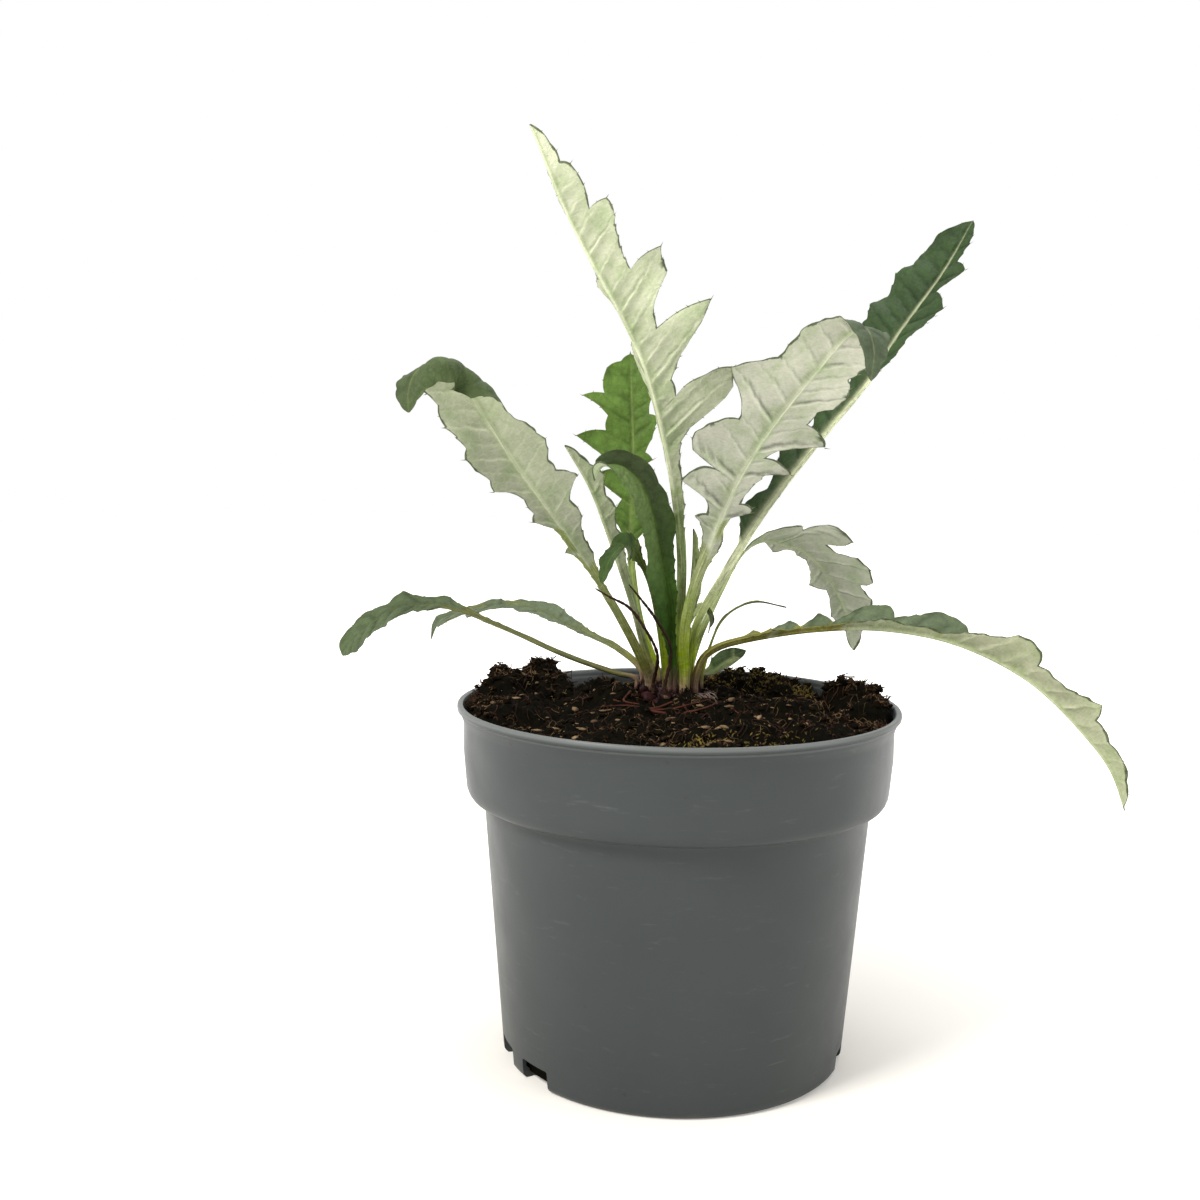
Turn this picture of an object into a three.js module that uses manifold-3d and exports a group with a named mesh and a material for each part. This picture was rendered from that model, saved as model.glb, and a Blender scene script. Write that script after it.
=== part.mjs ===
// A young globe thistle in a round nursery pot: lobed, spiny leaves, green above and felted white below.
// Millimetres, +Z up. The origin is the middle of the pot's underside, on the pot's axis.
// The plant's front is towards -Y, and +X is on the right when it is seen from the front.
import * as THREE from 'three';
import { mergeVertices } from 'three/addons/utils/BufferGeometryUtils.js';
import Module from 'manifold-3d';

const wasm = await Module();
wasm.setup();

// Driving dimensions
const GAP = 0.3; // clearance between pieces that touch
const POT = {
  height: 133,
  rimRadius: 82.4,
  lipHeight: 1.5,
  collarFoot: 97.8, // height of the step under the collar
  collarFootRadius: 78.9,
  wallTopRadius: 72.2,
  baseRadius: 64.4,
  thickness: 1.5,
  floor: 2,
  sides: 48,
};
const DRAIN = { width: 15, height: 8, reach: 6, spacing: 21, perGroup: 3, middles: [-70, 97] };
const SOIL = {
  level: 127,
  rings: [12, 24, 36, 48, 58, 67, 73],
  sectors: 44,
  rimHeight: 132.5, // the highest that the soil stands against the pot's wall
  clods: 90,
  clodReach: 72,
  clodRadius: [5, 11],
  clodRise: 0.25, // share of a clod's radius
  seed: 7,
};
const CROWN = { x: -3.5, y: 22, radius: 16.5, top: 134, rootLength: 74, sides: 24 };
const BLADE = {
  half: 0.35, // half the blade's thickness
  petioleEdge: 0.8, // half the thickness at the leaf stalk's edges
  ribHalfWidth: 0.9,
  ribDepth: 0.75,
  ribFade: 25, // length in which the midrib runs out before the tip
  slant: 0.6, // how far the side veins lean forward for each millimetre outwards
};
// The leaf stalk's section at the foot, as shares of its half width there
const PETIOLE = { depth: 0.55, rise: 0.35, ribHalf: 0.6 };
const STALK = { radius: 0.7, tipRadius: 0.45, sides: 6, steps: 12 };

const COLOURS = {
  pot: { color: '#595d5e', roughness: 0.45 },
  soil: { color: '#1d1510', roughness: 1 },
  crown: { color: '#4a2a26', roughness: 0.8 },
  leaf: { color: '#7f9270', roughness: 0.75 },
  stalk: { color: '#1c1412', roughness: 0.85 },
};

const part = new THREE.Group();

function addMesh(name, geometry, look) {
  const material = new THREE.MeshStandardMaterial({ ...COLOURS[look], metalness: 0 });
  const mesh = new THREE.Mesh(geometry, material);
  mesh.name = name;
  part.add(mesh);
}

// Solids: three.js geometry to a manifold and back
function toSolid(geometry) {
  const bare = geometry.clone();
  bare.deleteAttribute('normal');
  bare.deleteAttribute('uv');
  const merged = mergeVertices(bare, 1e-4);
  return new wasm.Manifold(new wasm.Mesh({
    numProp: 3,
    vertProperties: new Float32Array(merged.attributes.position.array),
    triVerts: new Uint32Array(merged.index.array),
  }));
}

function toGeometry(solid) {
  const mesh = solid.getMesh();
  const geometry = new THREE.BufferGeometry();
  geometry.setAttribute('position', new THREE.BufferAttribute(mesh.vertProperties, 3));
  geometry.setIndex(new THREE.BufferAttribute(mesh.triVerts, 1));
  geometry.computeVertexNormals();
  return geometry;
}

// A body turned round Z from [radius, height] pairs that run from the axis round to the axis again.
function turned(profile, sides) {
  const points = profile.map(([radius, height]) => new THREE.Vector2(radius, height));
  return new THREE.LatheGeometry(points, sides).rotateX(Math.PI / 2);
}

function interpolate(pairs, x) {
  const last = pairs.length - 1;
  if (x <= pairs[0][0]) return pairs[0][1];
  if (x >= pairs[last][0]) return pairs[last][1];
  const i = pairs.findIndex(([at]) => at > x);
  const [x0, y0] = pairs[i - 1];
  const [x1, y1] = pairs[i];
  return y0 + (y1 - y0) * (x - x0) / (x1 - x0);
}

// One component of a list of values that stand at even steps, at a share of the way along the list
function atShare(values, component, share) {
  const last = values.length - 1;
  return interpolate(values.map((value, i) => [i / last, value[component]]), share);
}

function seededRandom(seed) {
  let state = seed;
  return () => {
    state = (state * 1664525 + 1013904223) % 4294967296;
    return state / 4294967296;
  };
}

// Pot: a flared lip, a tapered collar with a rounded foot, a tapered wall and a flat base
const potOuter = [
  [POT.baseRadius - 3, 0],
  [POT.baseRadius - 0.8, 0.9],
  [POT.baseRadius, 3.2],
  [POT.wallTopRadius, POT.collarFoot],
  [POT.collarFootRadius - 3, POT.collarFoot + 0.8],
  [POT.collarFootRadius - 0.9, POT.collarFoot + 2.6],
  [POT.collarFootRadius, POT.collarFoot + 6.5],
  [POT.collarFootRadius + 1, POT.collarFoot + 18],
  [POT.rimRadius - 2.4, POT.height - 7],
  [POT.rimRadius - 1.2, POT.height - 2.8],
  [POT.rimRadius, POT.height - POT.lipHeight],
  [POT.rimRadius - 0.2, POT.height],
];
const potInner = [
  [POT.baseRadius - 4, POT.floor],
  [POT.baseRadius - POT.thickness, POT.floor + 2.5],
  [POT.wallTopRadius - POT.thickness, POT.collarFoot + 1.5],
  [POT.collarFootRadius - POT.thickness - 2, POT.collarFoot + 2.8],
  [POT.collarFootRadius - POT.thickness, POT.collarFoot + 7],
  [POT.rimRadius - 2.4 - POT.thickness, POT.height - 7],
  [POT.rimRadius - 1.6, POT.height],
];

function potGeometry() {
  const profile = [[0, 0], ...potOuter, ...potInner.toReversed(), [0, POT.floor]];
  let pot = toSolid(turned(profile, POT.sides));
  const notch = new THREE.BoxGeometry(DRAIN.width, 2 * DRAIN.reach, 2 * DRAIN.height);
  for (const middle of DRAIN.middles) {
    for (let i = 0; i < DRAIN.perGroup; i += 1) {
      const fromFront = middle + (i - (DRAIN.perGroup - 1) / 2) * DRAIN.spacing;
      const placed = notch.clone().translate(0, -POT.baseRadius, 0);
      placed.rotateZ(THREE.MathUtils.degToRad(fromFront));
      pot = pot.subtract(toSolid(placed));
    }
  }
  return toGeometry(pot);
}

// Crown and taproot: a low knob that carries the leaves, on a root that tapers down into the soil
function crownProfile(grow) {
  const { radius, top, rootLength } = CROWN;
  return [
    [0, top - rootLength - grow],
    [2.5 + grow, top - rootLength - grow],
    [5 + grow, top - 40],
    [10 + grow, top - 22],
    [radius + grow, top - 9],
    [radius + grow, top - 1.5],
  ];
}

function crownGeometry() {
  const profile = [...crownProfile(0), [CROWN.radius - 1, CROWN.top], [0, CROWN.top]];
  return turned(profile, CROWN.sides).translate(CROWN.x, CROWN.y, 0);
}

// Soil: fills the pot, with a lumpy top, a mound at the back left and a plain hole for the crown
const random = seededRandom(SOIL.seed);
const smallClods = Array.from({ length: SOIL.clods }, () => {
  const angle = random() * 2 * Math.PI;
  const distance = SOIL.clodReach * Math.sqrt(random());
  const radius = THREE.MathUtils.lerp(...SOIL.clodRadius, random());
  return [distance * Math.cos(angle), distance * Math.sin(angle), radius, SOIL.clodRise * radius];
});
const mounds = [
  // x, y, radius, height
  [CROWN.x, CROWN.y - 6, 46, 4],
  [-63, 38, 22, 7],
  [-72, 20, 15, 6],
  [-54, 47, 11, 4],
  [70, 25, 16, 8],
  [75, 4, 16, 6],
  [36, 62, 24, 5],
  [0, -70, 60, 3],
  [-70, -8, 26, 5],
  [58, -38, 30, 3],
];

function soilHeight(x, y) {
  let height = SOIL.level;
  for (const [cx, cy, radius, rise] of [...mounds, ...smallClods]) {
    const near = 1 - ((x - cx) ** 2 + (y - cy) ** 2) / radius ** 2;
    if (near > 0) height += rise * near * (2 - near);
  }
  return height;
}

function soilGeometry() {
  const wall = potInner.map(([radius, height]) => [height, radius - GAP]);
  const below = [...wall.slice(1, -1).toReversed(), [wall[0][0] + GAP, wall[0][1]]];
  const brim = POT.collarFootRadius - POT.thickness;
  const positions = [0, 0, soilHeight(0, 0)];
  for (let sector = 0; sector < SOIL.sectors; sector += 1) {
    const angle = 2 * Math.PI * sector / SOIL.sectors;
    const cos = Math.cos(angle);
    const sin = Math.sin(angle);
    for (const ring of SOIL.rings) {
      positions.push(ring * cos, ring * sin, soilHeight(ring * cos, ring * sin));
    }
    const edge = Math.min(soilHeight(brim * cos, brim * sin), SOIL.rimHeight);
    const edgeRadius = interpolate(wall, edge);
    positions.push(edgeRadius * cos, edgeRadius * sin, edge);
    for (const [height, radius] of below) {
      positions.push(radius * cos, radius * sin, height);
    }
  }
  const bottom = positions.length / 3;
  positions.push(0, 0, below.at(-1)[0]);
  const perSector = SOIL.rings.length + 1 + below.length;
  const index = [];
  for (let sector = 0; sector < SOIL.sectors; sector += 1) {
    const a = 1 + sector * perSector;
    const b = 1 + ((sector + 1) % SOIL.sectors) * perSector;
    index.push(0, a, b);
    for (let ring = 0; ring < perSector - 1; ring += 1) {
      index.push(a + ring, a + ring + 1, b + ring + 1, a + ring, b + ring + 1, b + ring);
    }
    index.push(bottom, b + perSector - 1, a + perSector - 1);
  }
  const geometry = new THREE.BufferGeometry();
  geometry.setAttribute('position', new THREE.Float32BufferAttribute(positions, 3));
  geometry.setIndex(index);
  const aboveSoil = 2 * CROWN.top;
  const openTop = [[CROWN.radius + GAP, aboveSoil], [0, aboveSoil]];
  const hole = turned([...crownProfile(GAP), ...openTop], CROWN.sides).translate(CROWN.x, CROWN.y, 0);
  return toGeometry(toSolid(geometry).subtract(toSolid(hole)));
}

// Leaves
// foot: where the leaf stands on the crown; spine: points along the midrib above the foot;
// across: the direction from the left half to the right half, at even steps from the foot to the tip;
// left and right: the margin as [distance along the midrib, distance out from it], from foot to tip,
// with a pair at each lobe tip, tooth and bay; fold: how far each half is raised from flat, in degrees;
// curl: how much each half bends on towards the upper side, in degrees a millimetre, at even steps from
// the foot to the tip;
// wave: height of the waves in the blade, and their length along the midrib.
const LEAVES = [
  {
    name: 'leaf_01_tall',
    foot: [0, 23],
    spine: [[-0.5, 20, 153], [-0.5, 12, 185], [-3, 7, 208], [-7.5, 2, 232], [-14, -4, 255], [-23, -8, 274],
      [-40, -16, 304], [-55, -26, 338]],
    across: [[-0.85, 0.5, 0], [-0.75, 0.65, 0], [-0.7, 0.7, -0.1]],
    fold: [40, 40],
    left: [[0, 2.1], [60, 2.8], [74, 3.9], [84, 4.3], [97, 6], [102, 11], [109, 25], [112, 29], [118, 31],
      [118, 20], [114, 8], [120, 8], [129, 17], [134, 26], [139, 32], [138, 10], [147, 13], [153, 22],
      [162, 24], [160, 11], [173, 13], [180, 15], [187, 15], [186, 8], [203, 8], [205, 5], [212, 4],
      [220, 0.4]],
    right: [[0, 2.1], [60, 2.8], [74, 3.7], [85, 4], [97, 6], [109, 24], [115, 20], [112, 7], [128, 20],
      [134, 24], [138, 9], [152, 20], [158, 22], [162, 9], [178, 15], [185, 8], [203, 8], [212, 4],
      [220, 0.4]],
    wave: [1, 36],
  },
  {
    name: 'leaf_02_white',
    foot: [2.4, 9.5],
    spine: [[2, 7, 159], [5.6, 3, 177], [9, -2, 187], [20, -16, 217], [31, -26, 236], [45, -40, 255],
      [53, -48, 265], [58, -56, 267], [60, -63, 260], [59, -67, 250]],
    across: [[-1, 0, 0], [-0.8, -0.5, 0.2], [-0.85, -0.45, 0.3]],
    fold: [8, 8],
    curl: [[-1, -1], [-1, -1]],
    left: [[0, 2], [50, 2.2], [59, 4], [68, 3], [74, 4], [77, 11], [79, 11], [80, 6], [85, 7], [92, 9],
      [97, 13], [98, 19], [100, 15], [101, 6], [106, 10], [109, 18], [112, 25], [116, 21], [119, 12],
      [125, 12], [129, 17], [134, 19], [141, 14], [150, 15], [156, 11], [165, 9], [174, 6], [182, 3],
      [188, 0.4]],
    right: [[0, 2], [50, 2.2], [60, 3.4], [69, 6], [72, 10], [74, 6], [78, 7], [82, 12], [84, 17], [88, 25],
      [91, 23], [92, 9], [97, 16], [97, 23], [101, 26], [106, 24], [112, 20], [113, 14], [119, 17],
      [124, 21], [127, 25], [133, 31], [137, 25], [141, 17], [150, 14], [156, 12], [165, 10], [174, 7],
      [182, 4], [188, 0.4]],
    wave: [1.2, 26],
  },
  {
    name: 'leaf_03_dark',
    foot: [4.8, 21.5],
    spine: [[6, 25, 157], [19.3, 32, 182], [33, 38, 204], [56.8, 46, 235], [71, 52, 252], [87, 61, 276],
      [105, 71, 301], [117, 78, 322]],
    across: [[0.6, -0.8, 0], [0.5, -0.8, -0.2], [0.7, -0.7, -0.2]],
    fold: [10, 15],
    left: [[0, 2], [62, 2.2], [73, 10], [80, 9], [87, 6], [104, 13], [111, 15], [114, 6], [130, 14],
      [139, 6], [158, 15], [168, 18], [172, 17], [179, 20], [186, 17], [196, 18], [203, 14], [215, 12],
      [224, 7], [229, 0.4]],
    right: [[0, 2], [62, 2.2], [104, 2.2], [146, 2.4], [164, 10], [171, 12], [183, 16],
      [192, 5], [204, 12], [208, 5], [217, 6], [225, 3], [229, 0.4]],
    wave: [1.2, 24],
  },
  {
    name: 'leaf_04_left',
    foot: [-11, 15],
    spine: [[-15, 10, 149], [-24, 2, 167], [-43, -14, 198], [-56, -24, 217], [-68, -32, 236],
      [-75, -36, 247.5], [-80.5, -41, 254], [-85.5, -47.5, 255], [-89.5, -53, 251], [-91, -57, 244],
      [-90.5, -58.5, 238]],
    across: [[-1, 0.3, 0], [-0.9, 0.3, -0.2], [-0.8, 0.2, -0.5], [-0.8, 0.2, -0.5]],
    fold: [5, 5],
    curl: [[0, 0], [0, -1], [0, -1], [0, -1], [-4, -1], [-10, -1], [-8, -1]],
    left: [[0, 2.1], [45, 1.7], [58, 3], [64, 5], [74, 6], [79, 9], [87, 9], [91, 13], [93, 16], [96, 15],
      [100, 12], [105, 12], [109, 15], [113, 16.5], [116, 14], [123, 14], [127, 14], [134, 17], [142, 20],
      [148, 21], [154, 18.5], [160, 14], [167, 9.5], [173, 6], [178, 3.2],
      [181.5, 0.4]],
    right: [[0, 2.1], [45, 1.7], [65, 2], [68, 5], [70, 2.5], [79, 3], [85, 8.5], [88, 6], [95, 5.5],
      [100, 8], [103, 13], [107, 12], [113, 14], [119, 14.5], [122, 12], [132, 14.5], [141, 12], [147, 13],
      [153, 12], [160, 9], [167, 7], [173, 5], [178, 3], [181.5, 0.4]],
    wave: [1.1, 22],
  },
  {
    name: 'leaf_05_low_left',
    foot: [-16, 20],
    spine: [[-23, 20, 140], [-43, 22, 146], [-69, 26, 156], [-95, 30, 164], [-115, 31, 161],
      [-131, 29, 148], [-134, 28, 143]],
    across: [[0.3, 1, 0], [0.2, 0.9, 0.3], [-0.5, 0.75, 0.2]],
    fold: [6, 6],
    left: [[0, 1.9], [60, 1.8], [87, 3], [91, 9], [98, 6], [107, 16], [114, 11], [121, 12], [128, 12],
      [135, 0.4]],
    right: [[0, 1.9], [60, 1.8], [82, 4], [86, 7], [92, 6], [100, 8], [104, 12], [109, 8], [120, 9],
      [129, 8], [135, 0.4]],
    wave: [0.8, 17],
  },
  {
    name: 'leaf_06_back_left',
    foot: [-14, 33],
    spine: [[-20, 38, 144], [-42, 52, 153], [-65, 66, 160], [-85, 75, 158], [-95, 78, 155],
      [-104, 81, 151], [-108, 83, 143]],
    across: [[0.7, 0.8, 0], [0.5, 0.8, 0.3], [-0.3, 0.9, 0.3]],
    fold: [12, 12],
    left: [[0, 1.9], [18, 3], [39, 4], [53, 5], [65, 8], [72, 5], [84, 8], [92, 13], [96, 7], [103, 12],
      [112, 6], [122, 0.4]],
    right: [[0, 1.9], [20, 2], [30, 2], [43, 4], [54, 6], [61, 6], [70, 4], [77, 3], [84, 5], [93, 3],
      [103, 3.5], [114, 4], [122, 0.4]],
    wave: [1, 19],
  },
  {
    name: 'leaf_07_upright',
    foot: [-8.5, 33],
    spine: [[-16, 38, 159], [-20, 41, 185], [-20, 47, 226], [-21, 50, 246], [-22, 54, 266]],
    across: [[1, 0.2, 0], [1, 0.1, 0.1], [1, 0, 0]],
    fold: [12, 12],
    left: [[0, 1.7], [46, 1.6], [57, 2], [67, 7], [75, 4], [83, 16], [87, 8], [90, 10], [101, 23],
      [103, 11], [109, 10], [117, 20], [118, 11], [128, 10], [131, 4], [134, 0.4]],
    right: [[0, 1.7], [46, 1.6], [58, 2], [65, 9], [68, 13], [71, 4], [87, 3], [91, 8], [94, 5], [99, 8],
      [107, 11], [109, 7], [115, 8], [123, 6], [130, 5], [134, 0.4]],
    wave: [1, 21],
  },
  {
    name: 'leaf_08_front',
    foot: [-2, 12],
    spine: [[-3, 11, 155], [-5, 8, 175], [-8, 5, 190], [-11, 1, 204], [-15, -3, 214], [-22.5, -7, 221],
      [-29, -11, 220.5], [-32, -13, 215]],
    across: [[1, 0.2, 0], [0.8, 0.6, 0.2], [0.5, 0.7, 0.5]],
    fold: [14, 48],
    left: [[0, 1.9], [14, 1.9], [29, 6], [43, 9], [57, 8], [74, 9], [89, 8], [101, 5], [108, 0.4]],
    right: [[0, 1.9], [14, 1.9], [40, 4], [52, 5], [63, 7], [73, 7], [81, 6], [93, 6], [101, 4],
      [108, 0.4]],
    wave: [0.5, 25],
  },
  {
    name: 'leaf_09_folded',
    foot: [-10.5, 24.5],
    spine: [[-14, 25, 149], [-20, 22, 170], [-27, 20, 190], [-35, 18, 211], [-45, 16, 228]],
    across: [[-0.7, 0.7, 0], [-0.7, 0.7, 0], [-0.7, 0.7, -0.2]],
    fold: [58, 58],
    left: [[0, 1.8], [25, 2.4], [45, 3.2], [58, 5.4], [64, 4.4], [72, 6.6], [77, 4.8], [84, 7.4], [90, 4.6],
      [95, 3.4], [101, 0.4]],
    right: [[0, 1.8], [25, 2.4], [45, 3.2], [56, 5.4], [62, 4.4], [70, 6.6], [75, 4.8], [82, 7.4], [89, 4.6],
      [95, 3.4], [101, 0.4]],
    wave: [0.4, 19],
  },
  {
    name: 'leaf_10_curled',
    foot: [-4.8, 17],
    spine: [[-6, 16, 150], [-8.5, 14.5, 165], [-11.5, 12, 177], [-15.5, 5, 186], [-18, -3, 190.5],
      [-21.5, -11, 191.5], [-25.5, -17, 187], [-28, -20, 179]],
    across: [[1, 0, 0], [1, 0.1, 0], [0.6, 0.7, 0.2], [-0.6, 0.7, 0.2]],
    fold: [10, 10],
    left: [[0, 1.5], [50, 1.3], [60, 2.8], [68, 5], [73, 4.2], [80, 6.4], [84, 4.6], [88, 3], [92, 0.4]],
    right: [[0, 1.5], [50, 1.3], [62, 2.8], [70, 5], [75, 4.2], [82, 5.6], [86, 3.6], [92, 0.4]],
    wave: [0.6, 11],
  },
  {
    name: 'leaf_11_bud',
    foot: [1.2, 17.6],
    spine: [[2.5, 16.5, 154], [3.5, 15.5, 170], [4.5, 14.5, 185], [4.5, 13.5, 198]],
    across: [[0.7, 0.7, 0], [0.7, 0.7, 0]],
    fold: [55, 55],
    left: [[0, 1.4], [20, 1.4], [34, 3], [48, 3], [56, 2], [63, 0.4]],
    right: [[0, 1.4], [20, 1.4], [34, 3], [48, 3], [56, 2], [63, 0.4]],
    wave: [0, 20],
  },
  {
    name: 'leaf_12_back_right',
    foot: [4, 33],
    spine: [[8, 40, 152], [17, 48, 171], [26, 55, 186], [34, 59, 190], [42, 62, 188], [50, 65, 186],
      [62, 71, 174], [71, 75, 157], [74, 76, 143]],
    across: [[0.9, -0.5, 0], [0.3, -0.8, 0.4], [0.8, -0.6, 0.1]],
    fold: [5, 5],
    left: [[0, 1.7], [48, 1.8], [72, 2], [80, 9], [84, 5], [92, 7], [95, 4], [105, 10], [110, 15],
      [113, 6], [119, 7], [126, 9], [133, 3], [141, 0.4]],
    right: [[0, 1.7], [48, 1.8], [62, 4], [69, 10], [73, 13], [76, 18], [83, 14], [87, 23], [89, 26],
      [93, 26], [91, 13], [96, 14], [103, 18], [108, 21], [113, 20], [113, 13], [121, 14], [124, 12],
      [133, 5], [141, 0.4]],
    wave: [1.1, 21],
  },
  {
    name: 'leaf_13_long_right',
    foot: [6.6, 14],
    spine: [[9.5, 13, 147.5], [15, 12, 152], [26, 10, 155.5], [51, 5, 160.5], [76, -1, 162], [101, -7, 158],
      [126, -13, 146], [146, -17, 127], [155, -18, 115], [161, -18, 100]],
    across: [[0.2, -1, 0], [-0.1, -1, 0.1], [0.4, -0.9, 0.1]],
    fold: [45, 35],
    left: [[0, 2], [31, 2.2], [35, 4], [38, 2.4], [49, 6], [53, 2.6], [60, 7.5], [65, 3.6], [76, 12],
      [85, 11], [87, 6], [101, 14], [109, 12], [113, 7], [126, 14], [133, 14], [139, 7], [154, 12],
      [163, 10], [166, 5], [180, 5], [189, 3], [196, 0.4]],
    right: [[0, 2], [31, 2.2], [44, 4], [48, 2.4], [72, 4], [84, 7], [92, 5], [105, 4], [119, 13],
      [128, 17], [136, 15], [138, 9], [144, 9], [161, 13], [164, 8], [173, 6], [180, 6], [187, 4],
      [196, 0.4]],
    wave: [1.2, 27],
  },
  {
    name: 'leaf_14_thin',
    foot: [9, 23.5],
    spine: [[11.5, 26, 149], [16, 28, 160], [22, 29, 165.5], [30, 30, 168], [42, 30, 166]],
    across: [[-0.2, -1, 0], [0, -1, 0.1]],
    fold: [5, 5],
    left: [[0, 1.4], [14, 1.3], [27, 3], [34, 2.4], [43, 3], [50, 1.8], [56, 0.4]],
    right: [[0, 1.4], [14, 1.3], [29, 3], [36, 2.4], [44, 3], [51, 1.6], [56, 0.4]],
    wave: [0, 20],
  },
  {
    name: 'leaf_15_low_right',
    foot: [7.5, 30],
    spine: [[12, 34, 138.5], [18, 38, 142.5], [27, 42, 147]],
    across: [[0.8, -0.6, 0], [0.6, -0.6, -0.5]],
    fold: [5, 5],
    left: [[0, 1.5], [8, 1.8], [17, 5], [23, 5], [29, 0.4]],
    right: [[0, 1.5], [8, 1.8], [16, 3], [23, 3], [29, 0.4]],
    wave: [0, 20],
  },
  {
    name: 'leaf_16_nodding',
    foot: [-1, 34],
    spine: [[0, 36, 148], [4, 35, 158], [9, 34, 165], [12, 34, 161], [11.5, 34, 154]],
    across: [[0.7, -0.7, 0], [0.3, -0.9, -0.2], [0.3, -0.9, 0]],
    fold: [15, 15],
    left: [[0, 1.4], [24, 1.2], [31, 3], [38, 3], [43, 0.4]],
    right: [[0, 1.4], [24, 1.2], [31, 3], [38, 3], [43, 0.4]],
    wave: [0, 20],
  },
];

// The surface of a leaf: flat sizes u along the midrib and v across it, bent along the spine
class LeafForm {
  constructor({ foot, spine, across, fold, curl = [[0, 0], [0, 0]], wave }) {
    const seat = CROWN.top + GAP;
    const points = [[...foot, seat], [...foot, seat + 4], ...spine];
    this.curve = new THREE.CatmullRomCurve3(points.map((p) => new THREE.Vector3(...p)));
    this.curve.arcLengthDivisions = 600;
    this.length = this.curve.getLength();
    this.across = across;
    this.fold = fold;
    this.curl = curl;
    this.wave = wave;
  }

  frame(u) {
    const t = this.share(u);
    const along = this.curve.getTangentAt(t);
    const across = new THREE.Vector3(...[0, 1, 2].map((axis) => atShare(this.across, axis, t)));
    across.addScaledVector(along, -across.dot(along)).normalize();
    const up = new THREE.Vector3().crossVectors(across, along);
    return { centre: this.curve.getPointAt(t), up, across };
  }

  share(u) {
    return THREE.MathUtils.clamp(u / this.length, 0, 1);
  }

  // The point at u, v, lifted from the middle surface by lift. v is negative on the left half.
  point(u, v, lift) {
    const { centre, up, across } = this.frame(u);
    const side = Math.sign(v) || 1;
    const half = v < 0 ? 0 : 1;
    const start = THREE.MathUtils.degToRad(this.fold[half]);
    const bend = THREE.MathUtils.degToRad(atShare(this.curl, half, this.share(u))) || 1e-5;
    const out = Math.abs(v);
    const end = start + bend * out;
    const [height, length] = this.wave;
    const waved = height * Math.min(out / 15, 1.5) ** 1.5 * Math.sin(2 * Math.PI * u / length + half * 2);
    const sideways = (Math.sin(end) - Math.sin(start)) / bend;
    const raised = (Math.cos(start) - Math.cos(end)) / bend;
    const tilt = v === 0 ? 0 : end;
    const offset = lift + waved;
    return centre
      .addScaledVector(across, side * (sideways - offset * Math.sin(tilt)))
      .addScaledVector(up, raised + offset * Math.cos(tilt));
  }
}

// A margin with the place on the midrib that each of its points grows from. The side veins lean forward.
function rooted(margin, length) {
  const leastStep = 0.8;
  let root = -leastStep;
  return margin.map(([u, v], i) => {
    const room = length - leastStep * (margin.length - 1 - i);
    root = Math.min(Math.max(i === 0 ? 0 : u - BLADE.slant * v, root + leastStep), room);
    return { root, u, v };
  });
}

function marginAt(rootedMargin, root) {
  const u = interpolate(rootedMargin.map((point) => [point.root, point.u]), root);
  const v = interpolate(rootedMargin.map((point) => [point.root, point.v]), root);
  return [u, v];
}

function leafStations(left, right) {
  const closest = 1.3;
  const roots = left.map(({ root }) => root);
  for (const point of right) {
    const near = roots.find((root) => Math.abs(root - point.root) < closest);
    if (near === undefined) roots.push(point.root);
    else point.root = near;
  }
  return roots.sort((a, b) => a - b);
}

function petioleStations(end) {
  return [4, 9, 16].concat([0.25, 0.5, 0.75].map((part) => part * end)).filter((u) => u < end - 3);
}

function leafGeometry(leaf) {
  const form = new LeafForm(leaf);
  const left = rooted(leaf.left, form.length);
  const right = rooted(leaf.right, form.length);
  const petioleEnd = leaf.left[1][0];
  const roots = [...new Set([...leafStations(left, right), ...petioleStations(petioleEnd)])];
  roots.sort((a, b) => a - b);
  const footHalf = leaf.left[0][1];
  const rows = { upper: [], lower: [] };
  for (const root of roots) {
    const inPetiole = THREE.MathUtils.clamp(1 - root / petioleEnd, 0, 1);
    const toTip = THREE.MathUtils.clamp((form.length - root) / BLADE.ribFade, 0, 1);
    const edge = THREE.MathUtils.lerp(BLADE.half, BLADE.petioleEdge, inPetiole);
    const ribDepth = THREE.MathUtils.lerp(BLADE.ribDepth, PETIOLE.depth * footHalf, inPetiole);
    const depth = BLADE.half + toTip * ribDepth;
    const rise = THREE.MathUtils.lerp(BLADE.half, PETIOLE.rise * footHalf, inPetiole);
    const ribHalf = THREE.MathUtils.lerp(BLADE.ribHalfWidth, PETIOLE.ribHalf * footHalf, inPetiole);
    const upper = [];
    const lower = [];
    for (const [margin, side] of [[left, -1], [right, 1]]) {
      const [u, v] = marginAt(margin, root);
      const ribEdge = Math.min(0.6 * v, ribHalf);
      const columns = [[v, edge, edge], [(v + ribEdge) / 2, edge, edge], [ribEdge, edge, (edge + depth) / 2]];
      const ordered = side < 0 ? columns : columns.toReversed();
      for (const [out, above, under] of ordered) {
        const along = root + (u - root) * out / v;
        upper.push(form.point(along, side * out, above));
        lower.push(form.point(along, side * out, -under));
      }
      if (side < 0) {
        upper.push(form.point(root, 0, rise));
        lower.push(form.point(root, 0, -depth));
      }
    }
    rows.upper.push(upper);
    rows.lower.push(lower);
  }
  return slabGeometry(rows.upper, rows.lower);
}

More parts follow.
